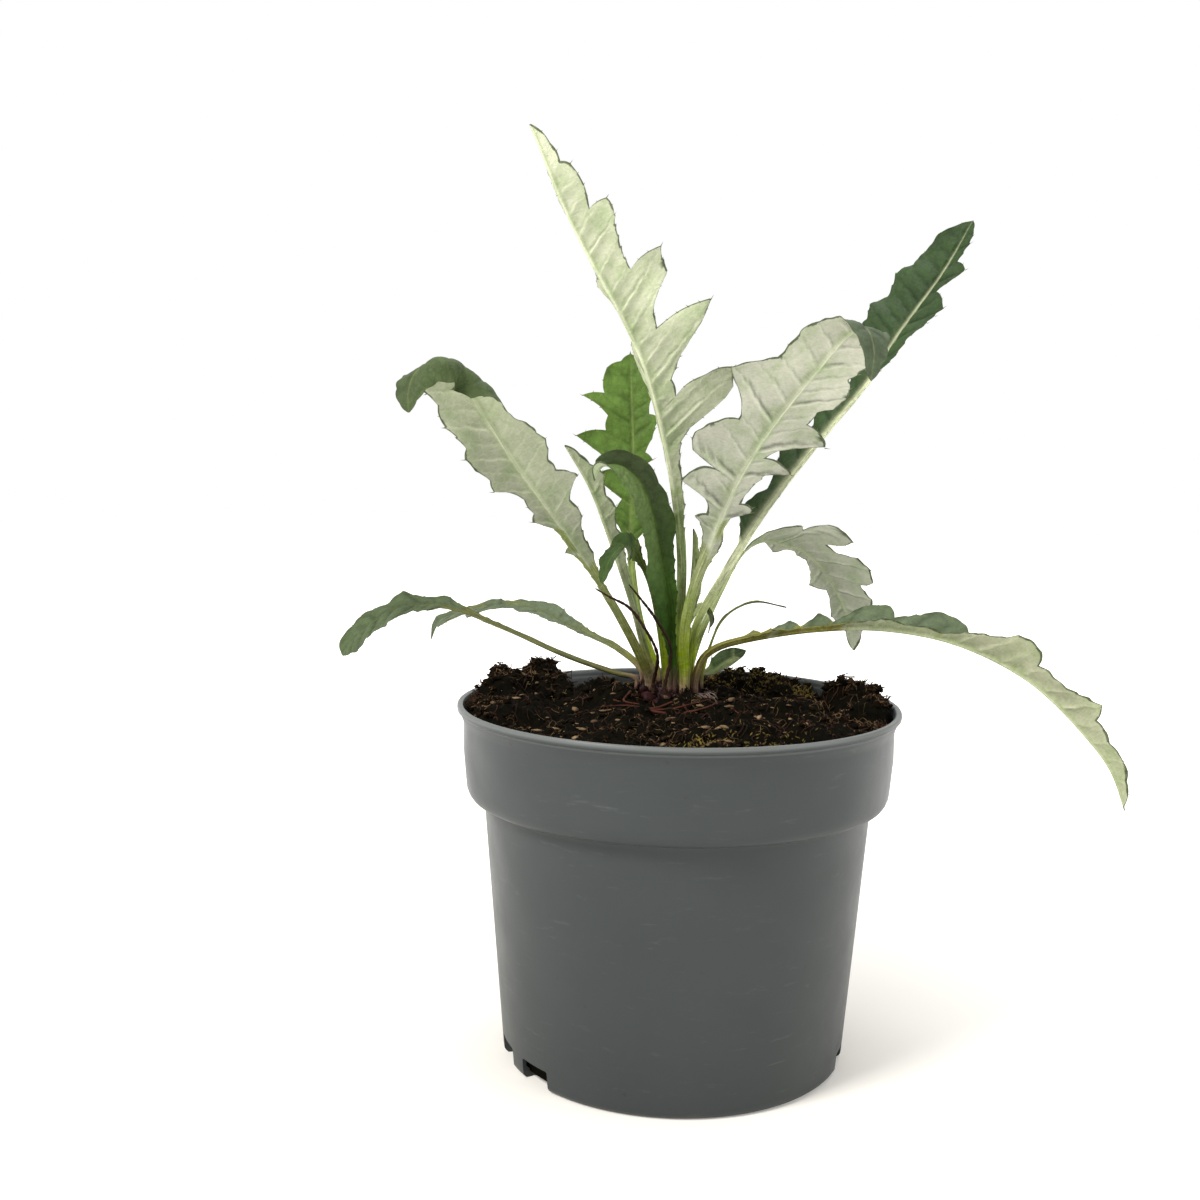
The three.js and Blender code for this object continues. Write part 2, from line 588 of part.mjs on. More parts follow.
// A closed slab between two grids of points, split into triangles alike on both faces
function slabGeometry(upper, lower) {
  const rowCount = upper.length;
  const columnCount = upper[0].length;
  const positions = [...upper.flat(), ...lower.flat()].flatMap((point) => point.toArray());
  const top = (row, column) => row * columnCount + column;
  const under = (row, column) => (rowCount + row) * columnCount + column;
  const index = [];
  const quad = (a, b, c, d) => index.push(a, b, c, a, c, d);
  for (let row = 0; row < rowCount - 1; row += 1) {
    for (let column = 0; column < columnCount - 1; column += 1) {
      quad(top(row, column), top(row, column + 1), top(row + 1, column + 1), top(row + 1, column));
      const flipped = [under(row, column), under(row + 1, column), under(row + 1, column + 1)];
      index.push(flipped[0], flipped[1], flipped[2], flipped[0], flipped[2], under(row, column + 1));
    }
    const last = columnCount - 1;
    quad(top(row, 0), top(row + 1, 0), under(row + 1, 0), under(row, 0));
    quad(top(row + 1, last), top(row, last), under(row, last), under(row + 1, last));
  }
  for (let column = 0; column < columnCount - 1; column += 1) {
    const end = rowCount - 1;
    quad(top(0, column + 1), top(0, column), under(0, column), under(0, column + 1));
    quad(top(end, column), top(end, column + 1), under(end, column + 1), under(end, column));
  }
  const geometry = new THREE.BufferGeometry();
  geometry.setAttribute('position', new THREE.Float32BufferAttribute(positions, 3));
  geometry.setIndex(index);
  geometry.computeVertexNormals();
  return geometry;
}

// Dried stalks: two black-brown withered leaf stalks that lean out to the left of the crown
const STALKS = [
  {
    name: 'dried_stalk_1',
    foot: [-5, 7],
    spine: [[-3, 5, 152], [-9, 2, 164], [-15, 0, 172], [-19, -2, 177]],
  },
  {
    name: 'dried_stalk_2',
    foot: [-9.5, 9.5],
    spine: [[-8, 3, 150], [-13, -2, 161], [-19, -5, 169], [-26, -8, 173], [-31, -9, 176]],
  },
];

function stalkGeometry({ foot, spine }) {
  const seat = CROWN.top + GAP;
  const points = [[...foot, seat], [...foot, seat + 4], ...spine];
  const curve = new THREE.CatmullRomCurve3(points.map((p) => new THREE.Vector3(...p)));
  const upper = [];
  const lower = [];
  const halfSides = STALK.sides / 2;
  for (let step = 0; step <= STALK.steps; step += 1) {
    const t = step / STALK.steps;
    const along = curve.getTangentAt(t);
    const up = new THREE.Vector3(0, -1, 0).addScaledVector(along, along.y).normalize();
    const across = new THREE.Vector3().crossVectors(along, up);
    const radius = THREE.MathUtils.lerp(STALK.radius, STALK.tipRadius, t);
    const ring = (angle) => curve.getPointAt(t)
      .addScaledVector(across, -radius * Math.cos(angle))
      .addScaledVector(up, radius * Math.sin(angle));
    const angles = Array.from({ length: halfSides + 1 }, (_, i) => Math.PI * (i + 0.5) / (halfSides + 1));
    upper.push(angles.map((angle) => ring(angle)));
    lower.push(angles.map((angle) => ring(-angle)));
  }
  return slabGeometry(upper, lower);
}

addMesh('pot', potGeometry(), 'pot');
addMesh('soil', soilGeometry(), 'soil');
addMesh('crown', crownGeometry(), 'crown');
for (const leaf of LEAVES) {
  addMesh(leaf.name, leafGeometry(leaf), 'leaf');
}
for (const stalk of STALKS) {
  addMesh(stalk.name, stalkGeometry(stalk), 'stalk');
}

export default part;
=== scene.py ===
import math
import random

import bmesh
import bpy
import numpy as np
from mathutils import Matrix, Vector, noise


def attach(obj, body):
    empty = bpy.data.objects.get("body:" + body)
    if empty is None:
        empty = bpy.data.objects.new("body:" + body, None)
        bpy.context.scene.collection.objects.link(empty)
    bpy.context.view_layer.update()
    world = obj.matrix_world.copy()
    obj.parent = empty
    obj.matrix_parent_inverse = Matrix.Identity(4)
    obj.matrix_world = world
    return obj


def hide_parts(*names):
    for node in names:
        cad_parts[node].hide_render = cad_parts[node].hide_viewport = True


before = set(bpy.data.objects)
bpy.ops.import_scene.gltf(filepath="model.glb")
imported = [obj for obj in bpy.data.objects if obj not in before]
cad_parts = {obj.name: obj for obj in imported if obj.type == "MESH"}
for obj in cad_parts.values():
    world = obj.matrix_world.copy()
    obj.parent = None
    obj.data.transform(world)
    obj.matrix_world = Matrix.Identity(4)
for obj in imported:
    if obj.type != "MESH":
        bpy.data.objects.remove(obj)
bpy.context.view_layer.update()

MM = 0.001
BODY = "root"

# Noise vectors start from this seed, so that the soil comes out the same each time
noise.seed_set(7)

# Sizes in millimetres, as in the part's source
GAP = 0.3
POT_HEIGHT = 133
RIM_RADIUS = 82.4
COLLAR_FOOT = 97.8
COLLAR_RADIUS = 78.9
WALL_TOP_RADIUS = 72.2
BASE_RADIUS = 64.4
POT_WALL = 1.5
POT_FLOOR = 2
POT_SIDES = 192
LIP_BAND = 4
DRAIN_WIDTH = 15
DRAIN_HEIGHT = 8
DRAIN_REACH = 6
DRAIN_SPACING = 21
DRAIN_PER_GROUP = 3
DRAIN_MIDDLES = [-70, 97]
DRAIN_ROUNDING = 0.9
SOIL_LEVEL = 127
CROWN_X = -3.5
CROWN_Y = 22
CROWN_TOP = 134
LEAF_SEAT = CROWN_TOP + GAP
FIRST_RISE = 4
SLANT = 0.6

# Leaves: the same figures as in the part's source. foot: where a leaf stands on the crown; spine: points
# along the midrib above the foot; across: from the left half to the right half, at even steps from foot to
# tip; fold and curl: how each half is raised and bends on; left and right: the margin as [along, out];
# wave: height and length of the ripple of the blade.
LEAVES = [
    dict(name="leaf_01_tall", foot=[0, 23], fold=[40, 40], wave=[1, 36],
         spine=[[-0.5, 20, 153], [-0.5, 12, 185], [-3, 7, 208], [-7.5, 2, 232], [-14, -4, 255],
           [-23, -8, 274], [-40, -16, 304], [-55, -26, 338]],
         across=[[-0.85, 0.5, 0], [-0.75, 0.65, 0], [-0.7, 0.7, -0.1]],
         left=[[0, 2.1], [60, 2.8], [74, 3.9], [84, 4.3], [97, 6], [102, 11], [109, 25], [112, 29],
           [118, 31], [118, 20], [114, 8], [120, 8], [129, 17], [134, 26], [139, 32], [138, 10], [147, 13],
           [153, 22], [162, 24], [160, 11], [173, 13], [180, 15], [187, 15], [186, 8], [203, 8], [205, 5],
           [212, 4], [220, 0.4]],
         right=[[0, 2.1], [60, 2.8], [74, 3.7], [85, 4], [97, 6], [109, 24], [115, 20], [112, 7], [128, 20],
           [134, 24], [138, 9], [152, 20], [158, 22], [162, 9], [178, 15], [185, 8], [203, 8], [212, 4],
           [220, 0.4]]),
    dict(name="leaf_02_white", foot=[2.4, 9.5], fold=[8, 8], wave=[1.2, 26],
         spine=[[2, 7, 159], [5.6, 3, 177], [9, -2, 187], [20, -16, 217], [31, -26, 236], [45, -40, 255],
           [53, -48, 265], [58, -56, 267], [60, -63, 260], [59, -67, 250]],
         across=[[-1, 0, 0], [-0.8, -0.5, 0.2], [-0.85, -0.45, 0.3]],
         curl=[[-1, -1], [-1, -1]],
         left=[[0, 2], [50, 2.2], [59, 4], [68, 3], [74, 4], [77, 11], [79, 11], [80, 6], [85, 7], [92, 9],
           [97, 13], [98, 19], [100, 15], [101, 6], [106, 10], [109, 18], [112, 25], [116, 21], [119, 12],
           [125, 12], [129, 17], [134, 19], [141, 14], [150, 15], [156, 11], [165, 9], [174, 6], [182, 3],
           [188, 0.4]],
         right=[[0, 2], [50, 2.2], [60, 3.4], [69, 6], [72, 10], [74, 6], [78, 7], [82, 12], [84, 17],
           [88, 25], [91, 23], [92, 9], [97, 16], [97, 23], [101, 26], [106, 24], [112, 20], [113, 14],
           [119, 17], [124, 21], [127, 25], [133, 31], [137, 25], [141, 17], [150, 14], [156, 12], [165, 10],
           [174, 7], [182, 4], [188, 0.4]]),
    dict(name="leaf_03_dark", foot=[4.8, 21.5], fold=[10, 15], wave=[1.2, 24],
         spine=[[6, 25, 157], [19.3, 32, 182], [33, 38, 204], [56.8, 46, 235], [71, 52, 252], [87, 61, 276],
           [105, 71, 301], [117, 78, 322]],
         across=[[0.6, -0.8, 0], [0.5, -0.8, -0.2], [0.7, -0.7, -0.2]],
         left=[[0, 2], [62, 2.2], [73, 10], [80, 9], [87, 6], [104, 13], [111, 15], [114, 6], [130, 14],
           [139, 6], [158, 15], [168, 18], [172, 17], [179, 20], [186, 17], [196, 18], [203, 14], [215, 12],
           [224, 7], [229, 0.4]],
         right=[[0, 2], [62, 2.2], [104, 2.2], [146, 2.4], [164, 10], [171, 12], [183, 16], [192, 5],
           [204, 12], [208, 5], [217, 6], [225, 3], [229, 0.4]]),
    dict(name="leaf_04_left", foot=[-11, 15], fold=[5, 5], wave=[1.1, 22],
         spine=[[-15, 10, 149], [-24, 2, 167], [-43, -14, 198], [-56, -24, 217], [-68, -32, 236],
           [-75, -36, 247.5], [-80.5, -41, 254], [-85.5, -47.5, 255], [-89.5, -53, 251], [-91, -57, 244],
           [-90.5, -58.5, 238]],
         across=[[-1, 0.3, 0], [-0.9, 0.3, -0.2], [-0.8, 0.2, -0.5], [-0.8, 0.2, -0.5]],
         curl=[[0, 0], [0, -1], [0, -1], [0, -1], [-4, -1], [-10, -1], [-8, -1]],
         left=[[0, 2.1], [45, 1.7], [58, 3], [64, 5], [74, 6], [79, 9], [87, 9], [91, 13], [93, 16],
           [96, 15], [100, 12], [105, 12], [109, 15], [113, 16.5], [116, 14], [123, 14], [127, 14],
           [134, 17], [142, 20], [148, 21], [154, 18.5], [160, 14], [167, 9.5], [173, 6], [178, 3.2],
           [181.5, 0.4]],
         right=[[0, 2.1], [45, 1.7], [65, 2], [68, 5], [70, 2.5], [79, 3], [85, 8.5], [88, 6], [95, 5.5],
           [100, 8], [103, 13], [107, 12], [113, 14], [119, 14.5], [122, 12], [132, 14.5], [141, 12],
           [147, 13], [153, 12], [160, 9], [167, 7], [173, 5], [178, 3], [181.5, 0.4]]),
    dict(name="leaf_05_low_left", foot=[-16, 20], fold=[6, 6], wave=[0.8, 17],
         spine=[[-23, 20, 140], [-43, 22, 146], [-69, 26, 156], [-95, 30, 164], [-115, 31, 161],
           [-131, 29, 148], [-134, 28, 143]],
         across=[[0.3, 1, 0], [0.2, 0.9, 0.3], [-0.5, 0.75, 0.2]],
         left=[[0, 1.9], [60, 1.8], [87, 3], [91, 9], [98, 6], [107, 16], [114, 11], [121, 12], [128, 12],
           [135, 0.4]],
         right=[[0, 1.9], [60, 1.8], [82, 4], [86, 7], [92, 6], [100, 8], [104, 12], [109, 8], [120, 9],
           [129, 8], [135, 0.4]]),
    dict(name="leaf_06_back_left", foot=[-14, 33], fold=[12, 12], wave=[1, 19],
         spine=[[-20, 38, 144], [-42, 52, 153], [-65, 66, 160], [-85, 75, 158], [-95, 78, 155],
           [-104, 81, 151], [-108, 83, 143]],
         across=[[0.7, 0.8, 0], [0.5, 0.8, 0.3], [-0.3, 0.9, 0.3]],
         left=[[0, 1.9], [18, 3], [39, 4], [53, 5], [65, 8], [72, 5], [84, 8], [92, 13], [96, 7], [103, 12],
           [112, 6], [122, 0.4]],
         right=[[0, 1.9], [20, 2], [30, 2], [43, 4], [54, 6], [61, 6], [70, 4], [77, 3], [84, 5], [93, 3],
           [103, 3.5], [114, 4], [122, 0.4]]),
    dict(name="leaf_07_upright", foot=[-8.5, 33], fold=[12, 12], wave=[1, 21],
         spine=[[-16, 38, 159], [-20, 41, 185], [-20, 47, 226], [-21, 50, 246], [-22, 54, 266]],
         across=[[1, 0.2, 0], [1, 0.1, 0.1], [1, 0, 0]],
         left=[[0, 1.7], [46, 1.6], [57, 2], [67, 7], [75, 4], [83, 16], [87, 8], [90, 10], [101, 23],
           [103, 11], [109, 10], [117, 20], [118, 11], [128, 10], [131, 4], [134, 0.4]],
         right=[[0, 1.7], [46, 1.6], [58, 2], [65, 9], [68, 13], [71, 4], [87, 3], [91, 8], [94, 5], [99, 8],
           [107, 11], [109, 7], [115, 8], [123, 6], [130, 5], [134, 0.4]]),
    dict(name="leaf_08_front", foot=[-2, 12], fold=[14, 48], wave=[0.5, 25],
         spine=[[-3, 11, 155], [-5, 8, 175], [-8, 5, 190], [-11, 1, 204], [-15, -3, 214], [-22.5, -7, 221],
           [-29, -11, 220.5], [-32, -13, 215]],
         across=[[1, 0.2, 0], [0.8, 0.6, 0.2], [0.5, 0.7, 0.5]],
         left=[[0, 1.9], [14, 1.9], [29, 6], [43, 9], [57, 8], [74, 9], [89, 8], [101, 5], [108, 0.4]],
         right=[[0, 1.9], [14, 1.9], [40, 4], [52, 5], [63, 7], [73, 7], [81, 6], [93, 6], [101, 4],
           [108, 0.4]]),
    dict(name="leaf_09_folded", foot=[-10.5, 24.5], fold=[58, 58], wave=[0.4, 19],
         spine=[[-14, 25, 149], [-20, 22, 170], [-27, 20, 190], [-35, 18, 211], [-45, 16, 228]],
         across=[[-0.7, 0.7, 0], [-0.7, 0.7, 0], [-0.7, 0.7, -0.2]],
         left=[[0, 1.8], [25, 2.4], [45, 3.2], [58, 5.4], [64, 4.4], [72, 6.6], [77, 4.8], [84, 7.4],
           [90, 4.6], [95, 3.4], [101, 0.4]],
         right=[[0, 1.8], [25, 2.4], [45, 3.2], [56, 5.4], [62, 4.4], [70, 6.6], [75, 4.8], [82, 7.4],
           [89, 4.6], [95, 3.4], [101, 0.4]]),
    dict(name="leaf_10_curled", foot=[-4.8, 17], fold=[10, 10], wave=[0.6, 11],
         spine=[[-6, 16, 150], [-8.5, 14.5, 165], [-11.5, 12, 177], [-15.5, 5, 186], [-18, -3, 190.5],
           [-21.5, -11, 191.5], [-25.5, -17, 187], [-28, -20, 179]],
         across=[[1, 0, 0], [1, 0.1, 0], [0.6, 0.7, 0.2], [-0.6, 0.7, 0.2]],
         left=[[0, 1.5], [50, 1.3], [60, 2.8], [68, 5], [73, 4.2], [80, 6.4], [84, 4.6], [88, 3], [92, 0.4]],
         right=[[0, 1.5], [50, 1.3], [62, 2.8], [70, 5], [75, 4.2], [82, 5.6], [86, 3.6], [92, 0.4]]),
    dict(name="leaf_11_bud", foot=[1.2, 17.6], fold=[55, 55], wave=[0, 20],
         spine=[[2.5, 16.5, 154], [3.5, 15.5, 170], [4.5, 14.5, 185], [4.5, 13.5, 198]],
         across=[[0.7, 0.7, 0], [0.7, 0.7, 0]],
         left=[[0, 1.4], [20, 1.4], [34, 3], [48, 3], [56, 2], [63, 0.4]],
         right=[[0, 1.4], [20, 1.4], [34, 3], [48, 3], [56, 2], [63, 0.4]]),
    dict(name="leaf_12_back_right", foot=[4, 33], fold=[5, 5], wave=[1.1, 21],
         spine=[[8, 40, 152], [17, 48, 171], [26, 55, 186], [34, 59, 190], [42, 62, 188], [50, 65, 186],
           [62, 71, 174], [71, 75, 157], [74, 76, 143]],
         across=[[0.9, -0.5, 0], [0.3, -0.8, 0.4], [0.8, -0.6, 0.1]],
         left=[[0, 1.7], [48, 1.8], [72, 2], [80, 9], [84, 5], [92, 7], [95, 4], [105, 10], [110, 15],
           [113, 6], [119, 7], [126, 9], [133, 3], [141, 0.4]],
         right=[[0, 1.7], [48, 1.8], [62, 4], [69, 10], [73, 13], [76, 18], [83, 14], [87, 23], [89, 26],
           [93, 26], [91, 13], [96, 14], [103, 18], [108, 21], [113, 20], [113, 13], [121, 14], [124, 12],
           [133, 5], [141, 0.4]]),
    dict(name="leaf_13_long_right", foot=[6.6, 14], fold=[45, 35], wave=[1.2, 27],
         spine=[[9.5, 13, 147.5], [15, 12, 152], [26, 10, 155.5], [51, 5, 160.5], [76, -1, 162],
           [101, -7, 158], [126, -13, 146], [146, -17, 127], [155, -18, 115], [161, -18, 100]],
         across=[[0.2, -1, 0], [-0.1, -1, 0.1], [0.4, -0.9, 0.1]],
         left=[[0, 2], [31, 2.2], [35, 4], [38, 2.4], [49, 6], [53, 2.6], [60, 7.5], [65, 3.6], [76, 12],
           [85, 11], [87, 6], [101, 14], [109, 12], [113, 7], [126, 14], [133, 14], [139, 7], [154, 12],
           [163, 10], [166, 5], [180, 5], [189, 3], [196, 0.4]],
         right=[[0, 2], [31, 2.2], [44, 4], [48, 2.4], [72, 4], [84, 7], [92, 5], [105, 4], [119, 13],
           [128, 17], [136, 15], [138, 9], [144, 9], [161, 13], [164, 8], [173, 6], [180, 6], [187, 4],
           [196, 0.4]]),
    dict(name="leaf_14_thin", foot=[9, 23.5], fold=[5, 5], wave=[0, 20],
         spine=[[11.5, 26, 149], [16, 28, 160], [22, 29, 165.5], [30, 30, 168], [42, 30, 166]],
         across=[[-0.2, -1, 0], [0, -1, 0.1]],
         left=[[0, 1.4], [14, 1.3], [27, 3], [34, 2.4], [43, 3], [50, 1.8], [56, 0.4]],
         right=[[0, 1.4], [14, 1.3], [29, 3], [36, 2.4], [44, 3], [51, 1.6], [56, 0.4]]),
    dict(name="leaf_15_low_right", foot=[7.5, 30], fold=[5, 5], wave=[0, 20],
         spine=[[12, 34, 138.5], [18, 38, 142.5], [27, 42, 147]],
         across=[[0.8, -0.6, 0], [0.6, -0.6, -0.5]],
         left=[[0, 1.5], [8, 1.8], [17, 5], [23, 5], [29, 0.4]],
         right=[[0, 1.5], [8, 1.8], [16, 3], [23, 3], [29, 0.4]]),
    dict(name="leaf_16_nodding", foot=[-1, 34], fold=[15, 15], wave=[0, 20],
         spine=[[0, 36, 148], [4, 35, 158], [9, 34, 165], [12, 34, 161], [11.5, 34, 154]],
         across=[[0.7, -0.7, 0], [0.3, -0.9, -0.2], [0.3, -0.9, 0]],
         left=[[0, 1.4], [24, 1.2], [31, 3], [38, 3], [43, 0.4]],
         right=[[0, 1.4], [24, 1.2], [31, 3], [38, 3], [43, 0.4]]),
]

# Colours (linear). upper, under, rib (on the underside), stalk, base (yellow-green, where the stalk leaves
# the crown) and base_reach, how far up it shows; felt: share of pale felt on the upper side; crease: how
# dark the painted shade beside the veins is on the underside; veins: how strongly the side veins show;
# painted_half_shading: painted light and shade, how much lighter the left half is drawn than the right one;
# rib_width: the midrib's share of the stalk's width; low_shade: how much darker the underside is near the
# stalk than near the tip.
MID_GREEN = (0.08, 0.14, 0.04)
GREY_GREEN = (0.095, 0.125, 0.062)
SILVER_FELT = (0.34, 0.38, 0.26)
OLIVE_STALK = (0.17, 0.17, 0.035)
BASE_GREEN = (0.24, 0.32, 0.004)
BASE_MAUVE = (0.24, 0.13, 0.11)
MARGIN_GREEN = (0.045, 0.065, 0.028)
PLAIN_LOOK = dict(upper=MID_GREEN, under=SILVER_FELT, rib=(0.5, 0.54, 0.34), stalk=(0.29, 0.34, 0.15),
                  base=BASE_GREEN, base_reach=30, felt=0.15, crease=0.3, veins=1, painted_half_shading=0,
                  rib_width=0.65, low_shade=0.1)
LEAF_LOOKS = {
    "leaf_01_tall": dict(upper=(0.045, 0.09, 0.026), under=(0.48, 0.51, 0.36), rib=(0.64, 0.67, 0.46),
                         felt=0.03, stalk=(0.24, 0.29, 0.13), base=(0.26, 0.36, 0.01), base_reach=42,
                         crease=0.65, low_shade=0.45),
    "leaf_02_white": dict(upper=(0.05, 0.075, 0.035), under=(0.47, 0.48, 0.39), rib=(0.56, 0.59, 0.42),
                          felt=0.2, stalk=(0.32, 0.36, 0.17), base_reach=48, crease=0.8),
    "leaf_03_dark": dict(upper=(0.03, 0.058, 0.018), rib=(0.43, 0.46, 0.32), stalk=(0.55, 0.58, 0.36),
                         base_reach=48, felt=0.02, rib_width=1.6),
    "leaf_04_left": dict(upper=(0.042, 0.066, 0.018), under=(0.38, 0.41, 0.29), rib=(0.43, 0.46, 0.31),
                         felt=0.1, stalk=(0.2, 0.23, 0.08), base=OLIVE_STALK, base_reach=45, crease=0.35,
                         veins=0.55, painted_half_shading=0.13, rib_width=0.5, low_shade=0.42),
    "leaf_05_low_left": dict(upper=(0.055, 0.082, 0.03), stalk=(0.1, 0.105, 0.03),
                             base=(0.13, 0.12, 0.035), felt=0.1),
    "leaf_06_back_left": dict(upper=(0.08, 0.105, 0.055), stalk=(0.13, 0.15, 0.06), base=OLIVE_STALK,
                              felt=0.1),
    "leaf_07_upright": dict(upper=(0.09, 0.16, 0.028), under=(0.4, 0.44, 0.3), stalk=(0.24, 0.31, 0.09),
                            felt=0.02, veins=0.7),
    "leaf_08_front": dict(upper=(0.095, 0.145, 0.045), base=(0.03, 0.08, 0.006), base_reach=80,
                          stalk=(0.12, 0.2, 0.03), felt=0.05, veins=0.25, painted_half_shading=0.6),
    "leaf_09_folded": dict(upper=GREY_GREEN, under=(0.33, 0.36, 0.24), stalk=(0.28, 0.31, 0.18),
                           base=OLIVE_STALK, felt=0.3),
    "leaf_10_curled": dict(upper=(0.045, 0.085, 0.02), under=(0.16, 0.22, 0.09), stalk=(0.12, 0.17, 0.04),
                           felt=0.03),
    "leaf_11_bud": dict(upper=(0.38, 0.45, 0.2), under=(0.4, 0.46, 0.22), felt=0.1),
    "leaf_12_back_right": dict(under=(0.49, 0.52, 0.41), crease=0.6, felt=0.25),
    "leaf_13_long_right": dict(upper=(0.07, 0.1, 0.045), under=(0.37, 0.39, 0.26), stalk=(0.21, 0.2, 0.045),
                               base=(0.2, 0.17, 0.04), felt=0.15),
    "leaf_14_thin": dict(upper=(0.07, 0.09, 0.035), under=(0.22, 0.25, 0.14), stalk=(0.18, 0.22, 0.08),
                         felt=0.1),
    "leaf_15_low_right": dict(upper=(0.06, 0.1, 0.035), base=(0.06, 0.1, 0.02), base_reach=20, felt=0.05),
    "leaf_16_nodding": dict(upper=(0.06, 0.09, 0.035), under=(0.22, 0.25, 0.16), felt=0.1),
}

# Relief of the finer leaves
PETIOLE_STEP = 2.2
BLADE_STEP = 0.85
BESIDE_MARGIN_POINT = 0.3
BESIDE_VEIN = 0.55
LEAST_ROW_GAP = 0.16
RIB_STEPS = 5
BLADE_SHARES = np.linspace(0, 1, 13)[1:]
RIM_SHARES = np.array([2 / 3, 1 / 3, 0])
TOOTH_SPACING = 4.5
TOOTH_HEIGHT = 0.6
VEIN_SPACING = 9
PUCKER = 1.15
PLACE_STEP = 40.0

# The soil's mounds, as in the part's source: x, y, radius, rise
MOUNDS = [
    [CROWN_X, CROWN_Y - 6, 46, 4],
    [-63, 38, 22, 7],
    [-72, 20, 15, 6],
    [-54, 47, 11, 4],
    [70, 25, 16, 8],
    [75, 4, 16, 6],
    [36, 62, 24, 5],
    [0, -70, 60, 3],
    [-70, -8, 26, 5],
    [58, -38, 30, 3],
]
SMALL_CLODS = 90
SOIL_RINGS = 110
SOIL_SECTORS = 360
SOIL_REACH = 78.2
SOIL_EDGE = 77
LITTER_REACH = 72
CRUMBS = 1500

# Places where clods lie thick: x, y, spread, number, largest radius
HEAPS = [
    (-63, 38, 8, 80, 2.8),
    (-71, 20, 6, 40, 2.2),
    (68, 28, 8, 80, 2.8),
    (76, 6, 6, 50, 2.2),
    (70, -22, 9, 60, 1.8),
    (36, 64, 13, 60, 1.8),
    (0, -70, 24, 50, 1.4),
    (CROWN_X, CROWN_Y, 18, 60, 1.7),
    (-74, -6, 8, 60, 1.8),
    (-60, -42, 9, 40, 1.4),
]

# Tufts of moss: x, y, radius, number of shoots
MOSS = [
    (-36, 50, 7, 170),
    (34, 54, 13, 340),
    (52, 46, 8, 180),
    (30, -64, 16, 260),
    (8, -66, 9, 110),
    (-20, 60, 8, 120),
    (14, 48, 8, 160),
]

# The crown: lumps in front of it, bare red roots as (x, y) points, and the dried stalks
CROWN_KNOBS = [(-16, 9, 132), (-12, 6, 133), (-8, 4, 131), (-13, 10, 135), (-5, 7, 133), (0, 6, 131),
               (-18, 13, 131)]
ROOT_ROUTES = [
    [(-24, -2), (-15, -9), (-4, -11), (6, -9), (12, -2)],
    [(-10, -14), (0, -16), (10, -12), (15, -5)],
    [(-18, 4), (-20, -6), (-14, -14)],
    [(16, 10), (21, 2), (19, -8), (23, -16)],
    [(2, -6), (4, -14), (1, -22)],
    [(-2, -4), (-9, -10), (-19, -10), (-29, -4)],
]
STALKS = [
    ("dried_stalk_1", (-5, 7), [[-3, 5, 152], [-9, 2, 164], [-15, 0, 172], [-19, -2, 177]]),
    ("dried_stalk_2", (-9.5, 9.5), [[-8, 3, 150], [-13, -2, 161], [-19, -5, 169], [-26, -8, 173],
                                    [-31, -9, 176]]),
]
STALK_RADII = (0.8, 0.7, 0.55, 0.6, 0.45, 0.25)
CROWN_HAIRS = 150

# Floor, lamps (name, place, size, power, colour) and camera (degrees down, left and of roll), in metres
FLOOR_RINGS = [0.16, 0.3, 0.45, 0.65, 0.9, 1.3, 2.0, 3.5]
FLOOR_SIDES = 64
LAMPS = [
    ("key", (-0.75, -0.7, 1.05), 0.5, 20, (1.0, 0.985, 0.96)),
    ("fill", (1.0, -0.35, 0.55), 0.9, 4.5, (0.97, 0.985, 1.0)),
    ("top", (0.15, 0.3, 1.2), 0.9, 7, (1, 1, 1)),
]
LAMP_TARGET = (0, 0, 0.16)
CAMERA_PLACE = (0, -0.52904, 0.229374)
CAMERA_ANGLES = (6.3053, 3.2228, 0.8083)
FOCAL_LENGTH = 42.86


def dress(piece, slot, *nodes):
    """Hands a finished piece to the frame."""
    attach(piece, BODY)
    if nodes:
        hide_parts(*nodes)


def show(name, data):
    """Puts a mesh, lamp or camera in the scene."""
    piece = bpy.data.objects.new(name, data)
    bpy.context.scene.collection.objects.link(piece)
    return piece


def mesh_object(name, points, faces, materials, face_materials=None, colours=None, places=None):
    """A mesh from points in millimetres. colours and places are one value a point."""
    mesh = bpy.data.meshes.new(name)
    mesh.from_pydata((np.asarray(points, float) * MM).tolist(), [], faces)
    for material in materials:
        mesh.materials.append(material)
    if face_materials is not None:
        mesh.polygons.foreach_set("material_index", np.asarray(face_materials, np.int32))
    mesh.polygons.foreach_set("use_smooth", np.ones(len(mesh.polygons), bool))
    if colours is not None:
        layer = mesh.attributes.new("tint", "FLOAT_COLOR", "POINT")
        layer.data.foreach_set("color", np.asarray(colours, np.float32).ravel())
    if places is not None:
        layer = mesh.attributes.new("place", "FLOAT_VECTOR", "POINT")
        layer.data.foreach_set("vector", np.asarray(places, np.float32).ravel())
    mesh.update()
    return show(name, mesh)


def plug(tree, socket, value):
    """Links a socket to an output, or gives it a plain value."""
    if hasattr(value, "is_output"):
        tree.links.new(value, socket)
    else:
        socket.default_value = value


def add_node(tree, kind, output, inputs, **settings):
    """Adds a shader node with its settings and inputs, and gives back one of its outputs."""
    node = tree.nodes.new("ShaderNode" + kind)
    for name, value in settings.items():
        setattr(node, name, value)
    for name, value in inputs.items():
        plug(tree, node.inputs[name], value)
    return node.outputs[output]


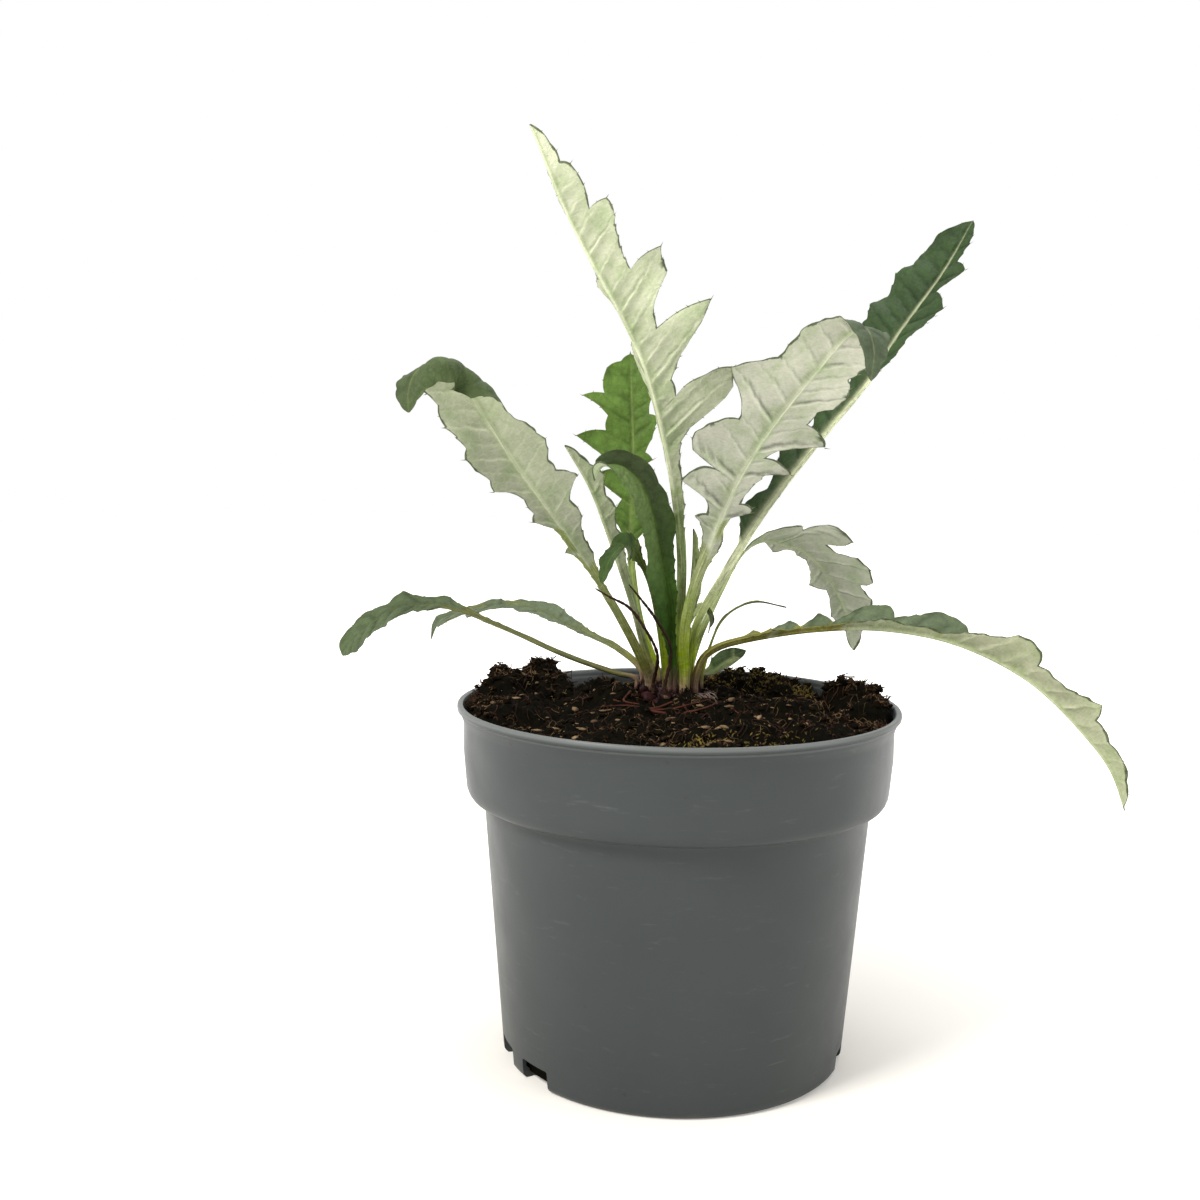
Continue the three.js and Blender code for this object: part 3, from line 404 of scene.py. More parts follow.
class Shader:
    """A node material. Each method from add to bump gives back a new node's output."""

    def __init__(self, name, **sockets):
        self.material = bpy.data.materials.new(name)
        self.material.use_nodes = True
        self.tree = self.material.node_tree
        self.object_place = self.add("TexCoord", "Object", {})
        self.set(**sockets)

    def set(self, **sockets):
        """Sets or links the surface's sockets, and gives back the material."""
        surface = self.tree.nodes["Principled BSDF"]
        for name, value in sockets.items():
            plug(self.tree, surface.inputs[name.replace("_", " ")], value)
        return self.material

    def add(self, kind, output, inputs, **settings):
        return add_node(self.tree, kind, output, inputs, **settings)

    def attribute(self, name, output="Color"):
        return self.add("Attribute", output, {}, attribute_name=name)

    def noise(self, scale, detail=4.0, roughness=0.55, place=None, stretch=None):
        place = place or self.object_place
        if stretch:
            place = self.add("Mapping", "Vector", {"Vector": place, "Scale": stretch})
        inputs = {"Vector": place, "Scale": scale, "Detail": detail, "Roughness": roughness}
        return self.add("TexNoise", "Fac", inputs)

    def cells(self, scale, place):
        """Distance to the nearest edge in a net of cells."""
        inputs = {"Vector": place, "Scale": scale}
        return self.add("TexVoronoi", "Distance", inputs, feature="DISTANCE_TO_EDGE")

    def ramp(self, value, *stops):
        """stops: (position, grey or colour) pairs."""
        output = self.add("ValToRGB", "Color", {"Fac": value})
        ramp = output.node.color_ramp
        while len(ramp.elements) < len(stops):
            ramp.elements.new(0.5)
        for element, (position, colour) in zip(ramp.elements, stops):
            element.position = position
            element.color = (*colour, 1) if isinstance(colour, tuple) else (colour, colour, colour, 1)
        return output

    def mix(self, share, first, second, kind="MIX"):
        first, second = ((*value, 1) if isinstance(value, tuple) else value for value in (first, second))
        inputs = {0: share, 6: first, 7: second}
        return self.add("Mix", 2, inputs, data_type="RGBA", blend_type=kind)

    def math(self, kind, first, second):
        return self.add("Math", 0, {0: first, 1: second}, operation=kind)

    def spread(self, colour, share, strength, other):
        """Lays another colour over colour where share is high."""
        return self.mix(self.math("MULTIPLY", share, strength), colour, other)

    def warped(self, place, scale, amount):
        """place pushed about by noise, so that a pattern laid on it isn't regular."""
        push = self.add("TexNoise", "Color", {"Vector": place, "Scale": scale})
        inputs = {0: push, 1: (amount, amount, amount), 2: place}
        return self.add("VectorMath", "Vector", inputs, operation="MULTIPLY_ADD")

    def bump(self, height, strength, distance, under=None):
        inputs = {"Strength": strength, "Distance": distance, "Height": height}
        if under:
            inputs["Normal"] = under
        return self.add("Bump", "Normal", inputs)


def leaf_nets(shader, fine_scale):
    """The leaf's own coordinates, and its net of veins and the finer net in it."""
    place = shader.attribute("place", "Vector")
    bent = shader.warped(place, 0.35, 2.4)
    return place, shader.cells(0.3, bent), shader.cells(fine_scale, bent)


def stalk_lines(shader, colour, place):
    """Darkens colour in fine lines along leaf stalks and ribs. Gives back the lines' height too."""
    on_stalk = shader.attribute("tint", "Alpha")
    lines = shader.noise(2.6, 4, 0.6, place, (0.03, 1, 1))
    colour = shader.mix(on_stalk, colour, shader.ramp(lines, (0.36, 0.55), (0.62, 1.3)), "MULTIPLY")
    return colour, shader.math("MULTIPLY", lines, on_stalk)


def leaf_upper_material():
    shader = Shader("leaf_upper", Specular_IOR_Level=0.09)
    place, net, fine_net = leaf_nets(shader, 0.95)
    net = shader.ramp(net, (0.0, 0.0), (0.14, 1.0))
    fine_net = shader.ramp(fine_net, (0.0, 0.0), (0.25, 1.0))
    colour = shader.mix(0.14, shader.attribute("tint"), net, "MULTIPLY")
    colour = shader.mix(0.08, colour, fine_net, "MULTIPLY")
    mottle = shader.noise(0.25, 5, 0.6, place)
    colour = shader.mix(0.5, colour, shader.ramp(mottle, (0.3, 0.5), (0.7, 1.35)), "MULTIPLY")
    felt = shader.ramp(shader.noise(2.2, 3, 0.7, place, (1, 0.35, 1)), (0.58, 0.0), (0.75, 1.0))
    colour = shader.spread(colour, felt, 0.07, (0.4, 0.45, 0.34))
    colour, lines = stalk_lines(shader, colour, place)
    normal = shader.bump(net, 0.16, 0.0004)
    normal = shader.bump(fine_net, 0.25, 0.00015, normal)
    normal = shader.bump(lines, 0.6, 0.0004, normal)
    roughness = shader.ramp(mottle, (0.3, 0.45), (0.8, 0.65))
    return shader.set(Base_Color=colour, Roughness=roughness, Normal=normal)


def leaf_under_material():
    shader = Shader("leaf_under", Specular_IOR_Level=0.08)
    place, net, fine_net = leaf_nets(shader, 0.9)
    net = shader.ramp(net, (0.0, 1.0), (0.16, 0.0))
    fine_net = shader.ramp(fine_net, (0.0, 1.0), (0.3, 0.0))
    hairs = shader.noise(1.6, 6, 0.75, place, (1.0, 0.3, 1.0))
    colour = shader.spread(shader.attribute("tint"), net, 0.08, (0.66, 0.69, 0.52))
    colour = shader.mix(0.55, colour, shader.ramp(hairs, (0.3, 0.7), (0.7, 1.2)), "MULTIPLY")
    stops = ((0.32, (0.66, 0.77, 0.56)), (0.5, (0.97, 0.99, 0.93)), (0.68, (1.16, 1.12, 1.15)))
    blotch = shader.ramp(shader.noise(0.11, 5, 0.65, place), *stops)
    colour = shader.mix(0.75, colour, blotch, "MULTIPLY")
    colour, lines = stalk_lines(shader, colour, place)
    normal = shader.bump(net, 0.25, 0.0003)
    normal = shader.bump(fine_net, 0.2, 0.00012, normal)
    normal = shader.bump(hairs, 0.35, 0.00018, normal)
    normal = shader.bump(lines, 0.6, 0.0004, normal)
    return shader.set(Base_Color=colour, Roughness=0.82, Normal=normal)


def spine_material():
    shader = Shader("leaf_spine", Roughness=0.5)
    return shader.set(Base_Color=shader.ramp(shader.noise(900), (0.35, (0.06, 0.05, 0.02)),
                                             (0.65, (0.22, 0.2, 0.07))))


# Leaf form, the same curve and cross-section as in the part's source
def even_steps(values, component, share):
    table = np.array(values, float)[:, component]
    return np.interp(share, np.linspace(0, 1, len(table)), table)


def unit(vectors):
    return vectors / np.maximum(np.linalg.norm(vectors, axis=-1, keepdims=True), 1e-9)


def smooth_curve(points, steps=60):
    """A centripetal Catmull-Rom curve through points."""
    knots = np.asarray(points, float)
    knots = np.vstack([2 * knots[0] - knots[1], knots, 2 * knots[-1] - knots[-2]])
    curve = []
    for a, b, c, d in zip(knots, knots[1:], knots[2:], knots[3:]):
        t1 = np.linalg.norm(b - a) ** 0.5
        t2 = t1 + np.linalg.norm(c - b) ** 0.5
        t3 = t2 + np.linalg.norm(d - c) ** 0.5
        t = np.linspace(t1, t2, steps, endpoint=False)[:, None]
        ab = ((t1 - t) * a + t * b) / t1
        bc = ((t2 - t) * b + (t - t1) * c) / (t2 - t1)
        cd = ((t3 - t) * c + (t - t2) * d) / (t3 - t2)
        abc = ((t2 - t) * ab + t * bc) / t2
        bcd = ((t3 - t) * bc + (t - t1) * cd) / (t3 - t1)
        curve.append(((t2 - t) * abc + (t - t1) * bcd) / (t2 - t1))
    return np.vstack([*curve, knots[-2:-1]])


class LeafForm:
    """The middle surface of a leaf."""

    def __init__(self, leaf):
        foot = leaf["foot"]
        self.centre = smooth_curve([[*foot, LEAF_SEAT], [*foot, LEAF_SEAT + FIRST_RISE], *leaf["spine"]])
        steps = np.linalg.norm(np.diff(self.centre, axis=0), axis=1)
        self.run = np.concatenate([[0], np.cumsum(steps)])
        self.length = self.run[-1]
        self.along = unit(np.gradient(self.centre, self.run, axis=0))
        share = self.run / self.length
        across = np.stack([even_steps(leaf["across"], axis, share) for axis in range(3)], 1)
        self.across = unit(across - (across * self.along).sum(1, keepdims=True) * self.along)
        self.up = np.cross(self.across, self.along)
        self.fold = leaf["fold"]
        self.curl = leaf.get("curl", [[0, 0], [0, 0]])
        self.wave = leaf["wave"]

    def at(self, values, u):
        return np.stack([np.interp(u, self.run, values[:, axis]) for axis in range(3)], -1)

    def point(self, u, v, lift):
        """The place of u along the midrib and v out from it, raised by lift from the middle surface."""
        u = np.clip(u, 0, self.length)
        share = u / self.length
        right = v >= 0
        start = np.radians(np.where(right, self.fold[1], self.fold[0]))
        bend = np.radians(np.where(right, even_steps(self.curl, 1, share), even_steps(self.curl, 0, share)))
        bend = np.where(np.abs(bend) < 1e-5, 1e-5, bend)
        out = np.abs(v)
        end = start + bend * out
        height, length = self.wave
        ripple = np.sin(2 * np.pi * u / length + np.where(right, 2.0, 0.0))
        offset = lift + height * np.minimum(out / 15, 1.5) ** 1.5 * ripple
        sideways = (np.sin(end) - np.sin(start)) / bend
        raised = (np.cos(start) - np.cos(end)) / bend
        tilt = np.where(out < 1e-6, 0.0, end)
        side = np.where(right, 1.0, -1.0)
        return (self.at(self.centre, u)
                + self.at(self.across, u) * (side * (sideways - offset * np.sin(tilt)))[..., None]
                + self.at(self.up, u) * (raised + offset * np.cos(tilt))[..., None])


def rooted(margin, length):
    """The margin with the place on the midrib that each of its points grows from."""
    least = 0.8
    root = -least
    rows = []
    for i, (u, v) in enumerate(margin):
        room = length - least * (len(margin) - 1 - i)
        root = min(max(0 if i == 0 else u - SLANT * v, root + least), room)
        rows.append((root, u, v))
    return np.array(rows)


def fine_margin(margin, roots):
    """The margin at each root: the side of a lobe towards the foot is a little hollow and toothed,
    the side towards the tip swells. A stretch that would fold over stays straight."""
    at, along, out = margin.T
    u = np.interp(roots, at, along)
    v = np.interp(roots, at, out)
    for i in range(1, len(at) - 1):
        inside = (roots > at[i]) & (roots < at[i + 1])
        if inside.sum() < 2:
            continue
        part = (roots[inside] - at[i]) / (at[i + 1] - at[i])
        du = along[i + 1] - along[i]
        dv = out[i + 1] - out[i]
        span = math.hypot(du, dv)
        rising = dv > 0
        arch = (-0.05 if rising else 0.09) * min(span, 16) * np.sin(np.pi * part)
        teeth = round(span / TOOTH_SPACING)
        if rising and teeth > 1:
            arch = arch + TOOTH_HEIGHT * ((part * teeth) % 1) ** 3
        bent_u = u[inside] - arch * dv / span
        bent_v = v[inside] + arch * du / span
        from_root = bent_u[1:] - roots[inside][1:]
        if (np.diff(bent_u) * bent_v[1:] > np.diff(bent_v) * from_root).all():
            u[inside] = bent_u
            v[inside] = bent_v
    return u, np.maximum(v, 0.15)


def vein_roots(margin):
    """Roots and strengths of the side veins: one to each lobe tip, and weaker ones between them."""
    at, along, out = margin.T
    tips = [at[i] for i in range(2, len(at) - 1)
            if out[i] > max(out[i - 1], 4) and out[i] >= out[i + 1]]
    veins = []
    last = at[1] + 3
    for tip in [*tips, at[-1] - 2]:
        count = int((tip - last) // VEIN_SPACING)
        veins += [(last + (tip - last) * (k + 1) / (count + 1), 0.5) for k in range(count)]
        if tip - last > 2:
            veins.append((tip, 1.0))
        last = tip
    return np.array(veins).reshape(-1, 2)


def vein_relief(place, share, veins, start, end):
    """Nearness to a side vein, shade beside it, and the swell of the blade between two veins."""
    wide = 0.85 - 0.5 * share
    near = np.zeros(place.shape)
    shade = np.zeros(place.shape)
    for root, strength in veins:
        near = np.maximum(near, strength * np.exp(-((place - root) / wide) ** 2))
        shade = np.maximum(shade, strength * np.exp(-((place - root - 1.3 * wide) / wide) ** 2))
    bounds = np.concatenate([[start], veins[:, 0], [end]])
    cell = np.clip(np.searchsorted(bounds, place) - 1, 0, len(bounds) - 2)
    gap = bounds[cell + 1] - bounds[cell]
    swell = np.sin(np.pi * np.clip((place - bounds[cell]) / gap, 0, 1)) * np.clip(gap / 9, 0.3, 1.2)
    return near, shade, swell


def blend(first, second, share):
    """Colours between first and second; share has one value for each place on the blade."""
    return first + (np.asarray(second) - first) * share[..., None]


def row_roots(halves, petiole_end, length):
    """Places along the midrib where the blade has a row of points."""
    stations = [np.arange(0, petiole_end, PETIOLE_STEP), np.arange(petiole_end, length, BLADE_STEP)]
    for side, margin, veins in halves:
        stations += [margin[1:, 0] + k * BESIDE_MARGIN_POINT for k in (-1, 0, 1)]
        stations += [veins[:, 0] + k * BESIDE_VEIN for k in (-1, 0, 1)]
    roots = np.unique(np.clip(np.concatenate(stations), 0, length).round(2))
    return roots[np.concatenate([[True], np.diff(roots) > LEAST_ROW_GAP])]


class LeafHalf:
    """Places, relief and colours of one half of a blade. Arrays have a row for each root and a column
    for each step out from the midrib."""

    def __init__(self, leaf, look, number, side, margin, veins, roots, length):
        self.look = look
        self.number = number
        self.side = side
        self.u_edge, self.v_edge = fine_margin(margin, roots)
        v_edge = self.v_edge[:, None]
        inner_edge = np.minimum(0.5 * v_edge, 1.7)
        rim = np.minimum(0.9, 0.14 * v_edge)
        outer = inner_edge + (v_edge - rim - inner_edge) * BLADE_SHARES
        inner = inner_edge * np.linspace(0, 1, RIB_STEPS + 1)
        self.out = np.concatenate([inner, outer, v_edge - rim * RIM_SHARES], 1)
        self.share = self.out / v_edge
        self.along = roots[:, None] + (self.u_edge - roots)[:, None] * self.share
        self.reach = np.broadcast_to(roots[:, None], self.out.shape)
        self.add_relief(leaf, veins, roots, length)

    def add_relief(self, leaf, veins, roots, length):
        """Stalk, midrib, veins and rolled edge, and how far they lift both faces off the middle surface."""
        petiole_end = leaf["left"][1][0]
        foot_half = leaf["left"][0][1]
        look, number, side = self.look, self.number, self.side
        out, share, along = self.out, self.share, self.along
        v_edge = self.v_edge[:, None]
        in_petiole = np.clip(1 - roots / petiole_end, 0, 1)[:, None] ** 0.6
        blade = 1 - in_petiole
        to_tip = np.clip((length - roots) / 25, 0, 1)[:, None]
        rib_half = (0.3 + (look["rib_width"] * foot_half - 0.3) * (1 - roots / length))[:, None]
        broad = np.clip(v_edge / 10, 0.25, 1)
        wander = 0.5 * np.sin(0.31 * along + 3 * side) + 0.35 * np.sin(0.9 * out + 0.2 * along + number)
        place = roots[:, None] + wander * np.clip(share * 2, 0, 1)
        fade = blade * np.clip((out - rib_half) / 1.2, 0, 1) * np.clip(1.06 - share, 0, 1) ** 0.5
        relief = vein_relief(place, share, veins, petiole_end, length)
        self.near, self.shade, self.swell = (look["veins"] * fade * kind for kind in relief)
        self.swell = self.swell * broad * (1 - share ** 3)
        rib = np.exp(-1.2 * (out / rib_half) ** 2) * (0.25 + 0.75 * to_tip)
        self.rib = rib * blade
        # Where the underside gets painted shade beside the midrib.
        self.beside = np.exp(-((out / rib_half - 2.2) / 1.0) ** 2) * blade * np.clip(1.2 - share, 0, 1)
        narrow = np.clip(4.4 - v_edge, 0, 1) * (roots < 0.8 * length)[:, None]
        self.stalked = np.clip(np.maximum(1.7 * in_petiole, narrow), 0, 1) + np.zeros(out.shape)
        patches = 0.5 + 0.35 * np.sin(0.37 * along + 2 * number + side) + 0.3 * np.sin(0.93 * along + number)
        self.margin_line = (v_edge - out < 0.2 + 0.7 * np.clip(patches, 0, 1)) * blade

        edge = np.clip((share - 0.78) / 0.22, 0, 1) ** 2 * blade * broad
        roll = edge * (0.35 + 0.35 * np.sin(along * 0.45 + number) + 0.2 * np.sin(along * 1.3))
        crinkle = 0.1 * np.sin(1.5 * along + 1.1 * out + side) * np.sin(1.2 * out - 0.8 * along) * fade
        middle = PUCKER * self.swell + roll + crinkle
        ridged = 0.06 * np.cos(out * 8 + number) * np.clip(1 - share, 0, 1)
        half_round = np.sqrt(np.clip(1 - share ** 2, 0, 1)) * foot_half
        thin = 0.2 - 0.1 * share
        above = blade * (thin - 0.16 * self.near) + in_petiole * (0.32 * half_round + 0.1 - 0.3 * rib)
        below = blade * (thin + 0.22 * self.near + 0.6 * rib_half * rib)
        below = below + in_petiole * (0.55 * half_round + 0.1 + ridged)
        self.lifts = (above + middle, middle - below)

    def tints(self):
        """Colours of the upper side and the underside, with the share of stalk or rib as their alpha."""
        look = self.look
        streak = 1 + 0.12 * np.sin(self.out * 8 + self.number) * np.clip(self.stalked + self.rib, 0, 1)
        drift = 0.5 + 0.5 * (np.sin(self.along * 0.09 + self.number)
                             * np.cos(self.out * 0.19 + self.number * 2 + self.along * 0.05))
        to_base = np.clip(1.5 * (1 - self.reach / look["base_reach"]), 0, 1)
        at_foot = np.clip(1 - self.reach / 11, 0, 1)
        stalk = np.array(look["stalk"])
        # Painted light and shade: one half of the blade is drawn lighter and the other darker, as if lit from
        # one side.
        painted_half_shading = 1 - self.side * look["painted_half_shading"]
        plain = np.ones((*self.out.shape, 3))

        upper = plain * look["upper"] * (0.82 + 0.3 * drift)[..., None] * painted_half_shading
        upper = blend(upper, SILVER_FELT, look["felt"] * (0.3 + 0.6 * drift))
        # Painted shade in the sunken vein grooves and beside the veins, and painted light on the swells
        # between them.
        upper *= (1 - 0.3 * self.shade - 0.25 * self.near + 0.15 * self.swell)[..., None]
        upper = blend(upper, 0.8 * stalk, 0.85 * self.rib)

        felt = np.array(look["under"])
        low = 1 - look["low_shade"] * np.clip(1 - (self.reach - 60) / 80, 0, 1)
        under = plain * felt * (low * (0.88 + 0.22 * drift))[..., None] * painted_half_shading
        # Painted shade beside the veins and in the hollows between them, seen from below.
        under *= (1 - look["crease"] * self.shade - 0.12 * self.swell)[..., None]
        under = blend(under, felt * 1.35, np.clip(0.8 * self.near, 0, 1))
        # Painted shade beside the midrib, a little greener.
        under = blend(under, felt * (0.62, 0.74, 0.5), 0.45 * self.beside)
        under = blend(under, look["rib"], 0.85 * self.rib)
        under = blend(under, MARGIN_GREEN, 0.9 * self.margin_line)

        on_stalk = np.maximum(self.stalked, 0.6 * self.rib)[..., None]
        for tint in (upper, under):
            tint = blend(tint, stalk * streak[..., None], self.stalked)
            tint = blend(tint, look["base"], 0.95 * to_base)
            tint = blend(tint, BASE_MAUVE, at_foot)
            yield np.concatenate([tint, on_stalk], -1)


def blade_quads(rows, columns):
    """Quads of the upper side, of the underside and round the edge."""
    top = np.arange(rows * columns).reshape(rows, columns)
    low = top + rows * columns
    upper = (top[:-1, :-1], top[:-1, 1:], top[1:, 1:], top[1:, :-1])
    under = (low[:-1, :-1], low[1:, :-1], low[1:, 1:], low[:-1, 1:])
    edges = [(top[:-1, 0], top[1:, 0], low[1:, 0], low[:-1, 0]),
             (top[1:, -1], top[:-1, -1], low[:-1, -1], low[1:, -1]),
             (top[0, 1:], top[0, :-1], low[0, :-1], low[0, 1:]),
             (top[-1, :-1], top[-1, 1:], low[-1, 1:], low[-1, :-1])]
    upper, under, *edges = (np.stack(corners, -1).reshape(-1, 4) for corners in (upper, under, *edges))
    return upper, under, np.concatenate(edges)


def margin_spines(form, half, margin, roots, chooser):
    """Thin spines on one margin: longer ones on the lobe tips, short ones on the teeth."""
    def edge(root):
        return np.array([np.interp(root, roots, half.u_edge), np.interp(root, roots, half.v_edge)])

    chosen = []
    for before, here, after in zip(margin, margin[1:], margin[2:]):
        if here[2] >= before[2] and here[2] >= after[2] and here[2] > 3:
            chosen.append((here[0], unit(here[1:] - [here[0], 0]), chooser.uniform(1.1, 2.1)))
    for here, after in zip(margin[1:], margin[2:]):
        teeth = round(math.hypot(*(after - here)[1:]) / TOOTH_SPACING)
        for k in range(1, teeth):
            root = here[0] + (after[0] - here[0]) * k / teeth
            run = unit(edge(root + 0.2) - edge(root - 0.2))
            outward = np.array([0.7 * run[0] - run[1], 0.7 * run[1] + run[0]])
            chosen.append((root, outward, chooser.uniform(0.5, 1.1)))
    spines = []
    for root, outward, length in chosen:
        foot = edge(root) - 0.25 * unit(outward)
        aside = 0.2 * unit(np.array([-outward[1], outward[0]]))
        places = np.array([foot + aside, foot - aside, foot, foot + (length + 0.25) * unit(outward)])
        lift = np.array([0.0, 0.0, 0.22, 0.1])
        spines.append(form.point(places[:, 0], half.side * np.maximum(places[:, 1], 0.05), lift))
    return spines


def leaf_piece(leaf, number, materials):
    chooser = random.Random(number)
    look = {**PLAIN_LOOK, **LEAF_LOOKS[leaf["name"]]}
    form = LeafForm(leaf)
    margins = [(side, rooted(leaf[key], form.length)) for side, key in ((-1, "left"), (1, "right"))]
    margins = [(side, margin, vein_roots(margin)) for side, margin in margins]
    roots = row_roots(margins, leaf["left"][1][0], form.length)
    u, v = [], []
    lifts = [[], []]
    tints = [[], []]
    spines = []
    for side, margin, veins in margins:
        half = LeafHalf(leaf, look, number, side, margin, veins, roots, form.length)
        order = slice(None, 0, -1) if side < 0 else slice(None)
        u.append(half.along[:, order])
        v.append((side * half.out)[:, order])
        for face, (lift, tint) in enumerate(zip(half.lifts, half.tints())):
            lifts[face].append(lift[:, order])
            tints[face].append(tint[:, order])
        spines += margin_spines(form, half, margin, roots, chooser)
    u = np.concatenate(u, 1)
    v = np.concatenate(v, 1)
    points = [form.point(u, v, np.concatenate(lift, 1)).reshape(-1, 3) for lift in lifts]
    colours = [np.concatenate(tint, 1).reshape(-1, 4) for tint in tints]
    places = np.stack([u, v, np.full(u.shape, PLACE_STEP * number)], -1).reshape(-1, 3)

    quads = blade_quads(*u.shape)
    faces = np.concatenate(quads).tolist()
    added = 4 * len(spines)
    for first in range(2 * u.size, 2 * u.size + added, 4):
        a, b, c, d = range(first, first + 4)
        faces += [[a, b, d], [b, c, d], [c, a, d], [a, c, b]]
    face_materials = np.repeat([0, 1, 0, 2], [*(len(kind) for kind in quads), added])
    points = np.concatenate([*points, np.array(spines).reshape(-1, 3)])
    colours = np.concatenate([*colours, np.full((added, 4), 0.1)])
    places = np.concatenate([places, places, np.zeros((added, 3))])
    return mesh_object(leaf["name"] + "_look", points, faces, materials, face_materials, colours, places)


leaf_materials = [leaf_upper_material(), leaf_under_material(), spine_material()]
for number, leaf in enumerate(LEAVES, 1):
    dress(leaf_piece(leaf, number, leaf_materials), "leaf", leaf["name"])


# Rings of points
def circle(radius, height, sides):
    angles = [2 * math.pi * k / sides for k in range(sides)]
    return [(radius * math.cos(angle), radius * math.sin(angle), height) for angle in angles]


def neighbours(rings, sides, first=0):
    """Each point of each ring with the next one on its ring."""
    for start in range(first, first + rings * sides, sides):
        for k in range(sides):
            yield start + k, start + (k + 1) % sides


def closed_rings(points, sides):
    """Joins rings of points to a skin with a cap at both ends."""
    faces = [[a, b, b + sides, a + sides] for a, b in neighbours(len(points) // sides - 1, sides)]
    faces.append(list(range(sides))[::-1])
    faces.append(list(range(len(points) - sides, len(points))))
    return points, faces


def lathe(profile, sides):
    return closed_rings([point for ring in profile for point in circle(*ring, sides)], sides)


# Pot
def pot_profile():
    """Half of the pot's section, from the underside up the outside, over the lip and down the inside."""
    base, wall, collar, rim, height = BASE_RADIUS, WALL_TOP_RADIUS, COLLAR_RADIUS, RIM_RADIUS, POT_HEIGHT
    step = COLLAR_FOOT
    outside = [(0.02, 0), (base - 8, 0), (base - 3, 0), (base - 1.6, 0.25), (base - 0.8, 0.9),
               (base - 0.15, 1.9), (base, 3.2), ((base + wall) / 2, (step + 3.2) / 2),
               (wall - 0.12, step - 1.6), (wall, step - 0.5), (wall + 0.5, step + 0.1),
               (wall + 1.2, step + 0.2), (collar - 3, step + 0.8), (collar - 1.7, step + 1.5),
               (collar - 0.9, step + 2.6), (collar - 0.25, step + 4.3), (collar, step + 6.5),
               (collar + 1, step + 18), (rim - 2.45, height - 7.4), (rim - 2.3, height - 6.2),
               (rim - 1.75, height - 4.6), (rim - 1.3, height - 3.5), (rim - 1.25, height - 2.9),
               (rim - 0.75, height - 2.55), (rim - 0.1, height - 2.0), (rim, height - 1.4),
               (rim - 0.05, height - 0.6), (rim - 0.35, height - 0.1), (rim - 0.8, height)]
    inside = [(rim - 1.6, height), (rim - 2.1, height - 0.3), (rim - 2.6, height - 2.5),
              (rim - 3.9, height - 7), (collar - POT_WALL, step + 7), (collar - POT_WALL - 2, step + 2.8),
              (wall - POT_WALL, step + 1.5), (base - POT_WALL, POT_FLOOR + 2.5), (base - 4, POT_FLOOR),
              (0.02, POT_FLOOR)]
    return outside + inside


def drain_cutter():
    """The blocks that are cut out of the edge of the underside."""
    cutter = bmesh.new()
    size = Matrix.Diagonal((DRAIN_WIDTH * MM, 2 * DRAIN_REACH * MM, 2 * DRAIN_HEIGHT * MM, 1))
    for middle in DRAIN_MIDDLES:
        for k in range(DRAIN_PER_GROUP):
            from_front = math.radians(middle + (k - (DRAIN_PER_GROUP - 1) / 2) * DRAIN_SPACING)
            place = Matrix.Rotation(from_front, 4, "Z") @ Matrix.Translation((0, -BASE_RADIUS * MM, 0))
            made = bmesh.ops.create_cube(cutter, size=1, matrix=place @ size)
            edges = {edge for vertex in made["verts"] for edge in vertex.link_edges}
            bmesh.ops.bevel(cutter, geom=list(edges), offset=DRAIN_ROUNDING * MM, segments=3,
                            affect="EDGES", profile=0.5)
    mesh = bpy.data.meshes.new("drain_cutter")
    cutter.to_mesh(mesh)
    cutter.free()
    return show("drain_cutter", mesh)


def cut_drains(pot):
    cutter = drain_cutter()
    modifier = pot.modifiers.new("drains", "BOOLEAN")
    modifier.operation = "DIFFERENCE"
    modifier.solver = "EXACT"
    modifier.object = cutter
    evaluated = pot.evaluated_get(bpy.context.evaluated_depsgraph_get())
    cut = bpy.data.meshes.new_from_object(evaluated)
    pot.modifiers.clear()
    pot.data = cut
    mesh = cutter.data
    bpy.data.objects.remove(cutter)
    bpy.data.meshes.remove(mesh)


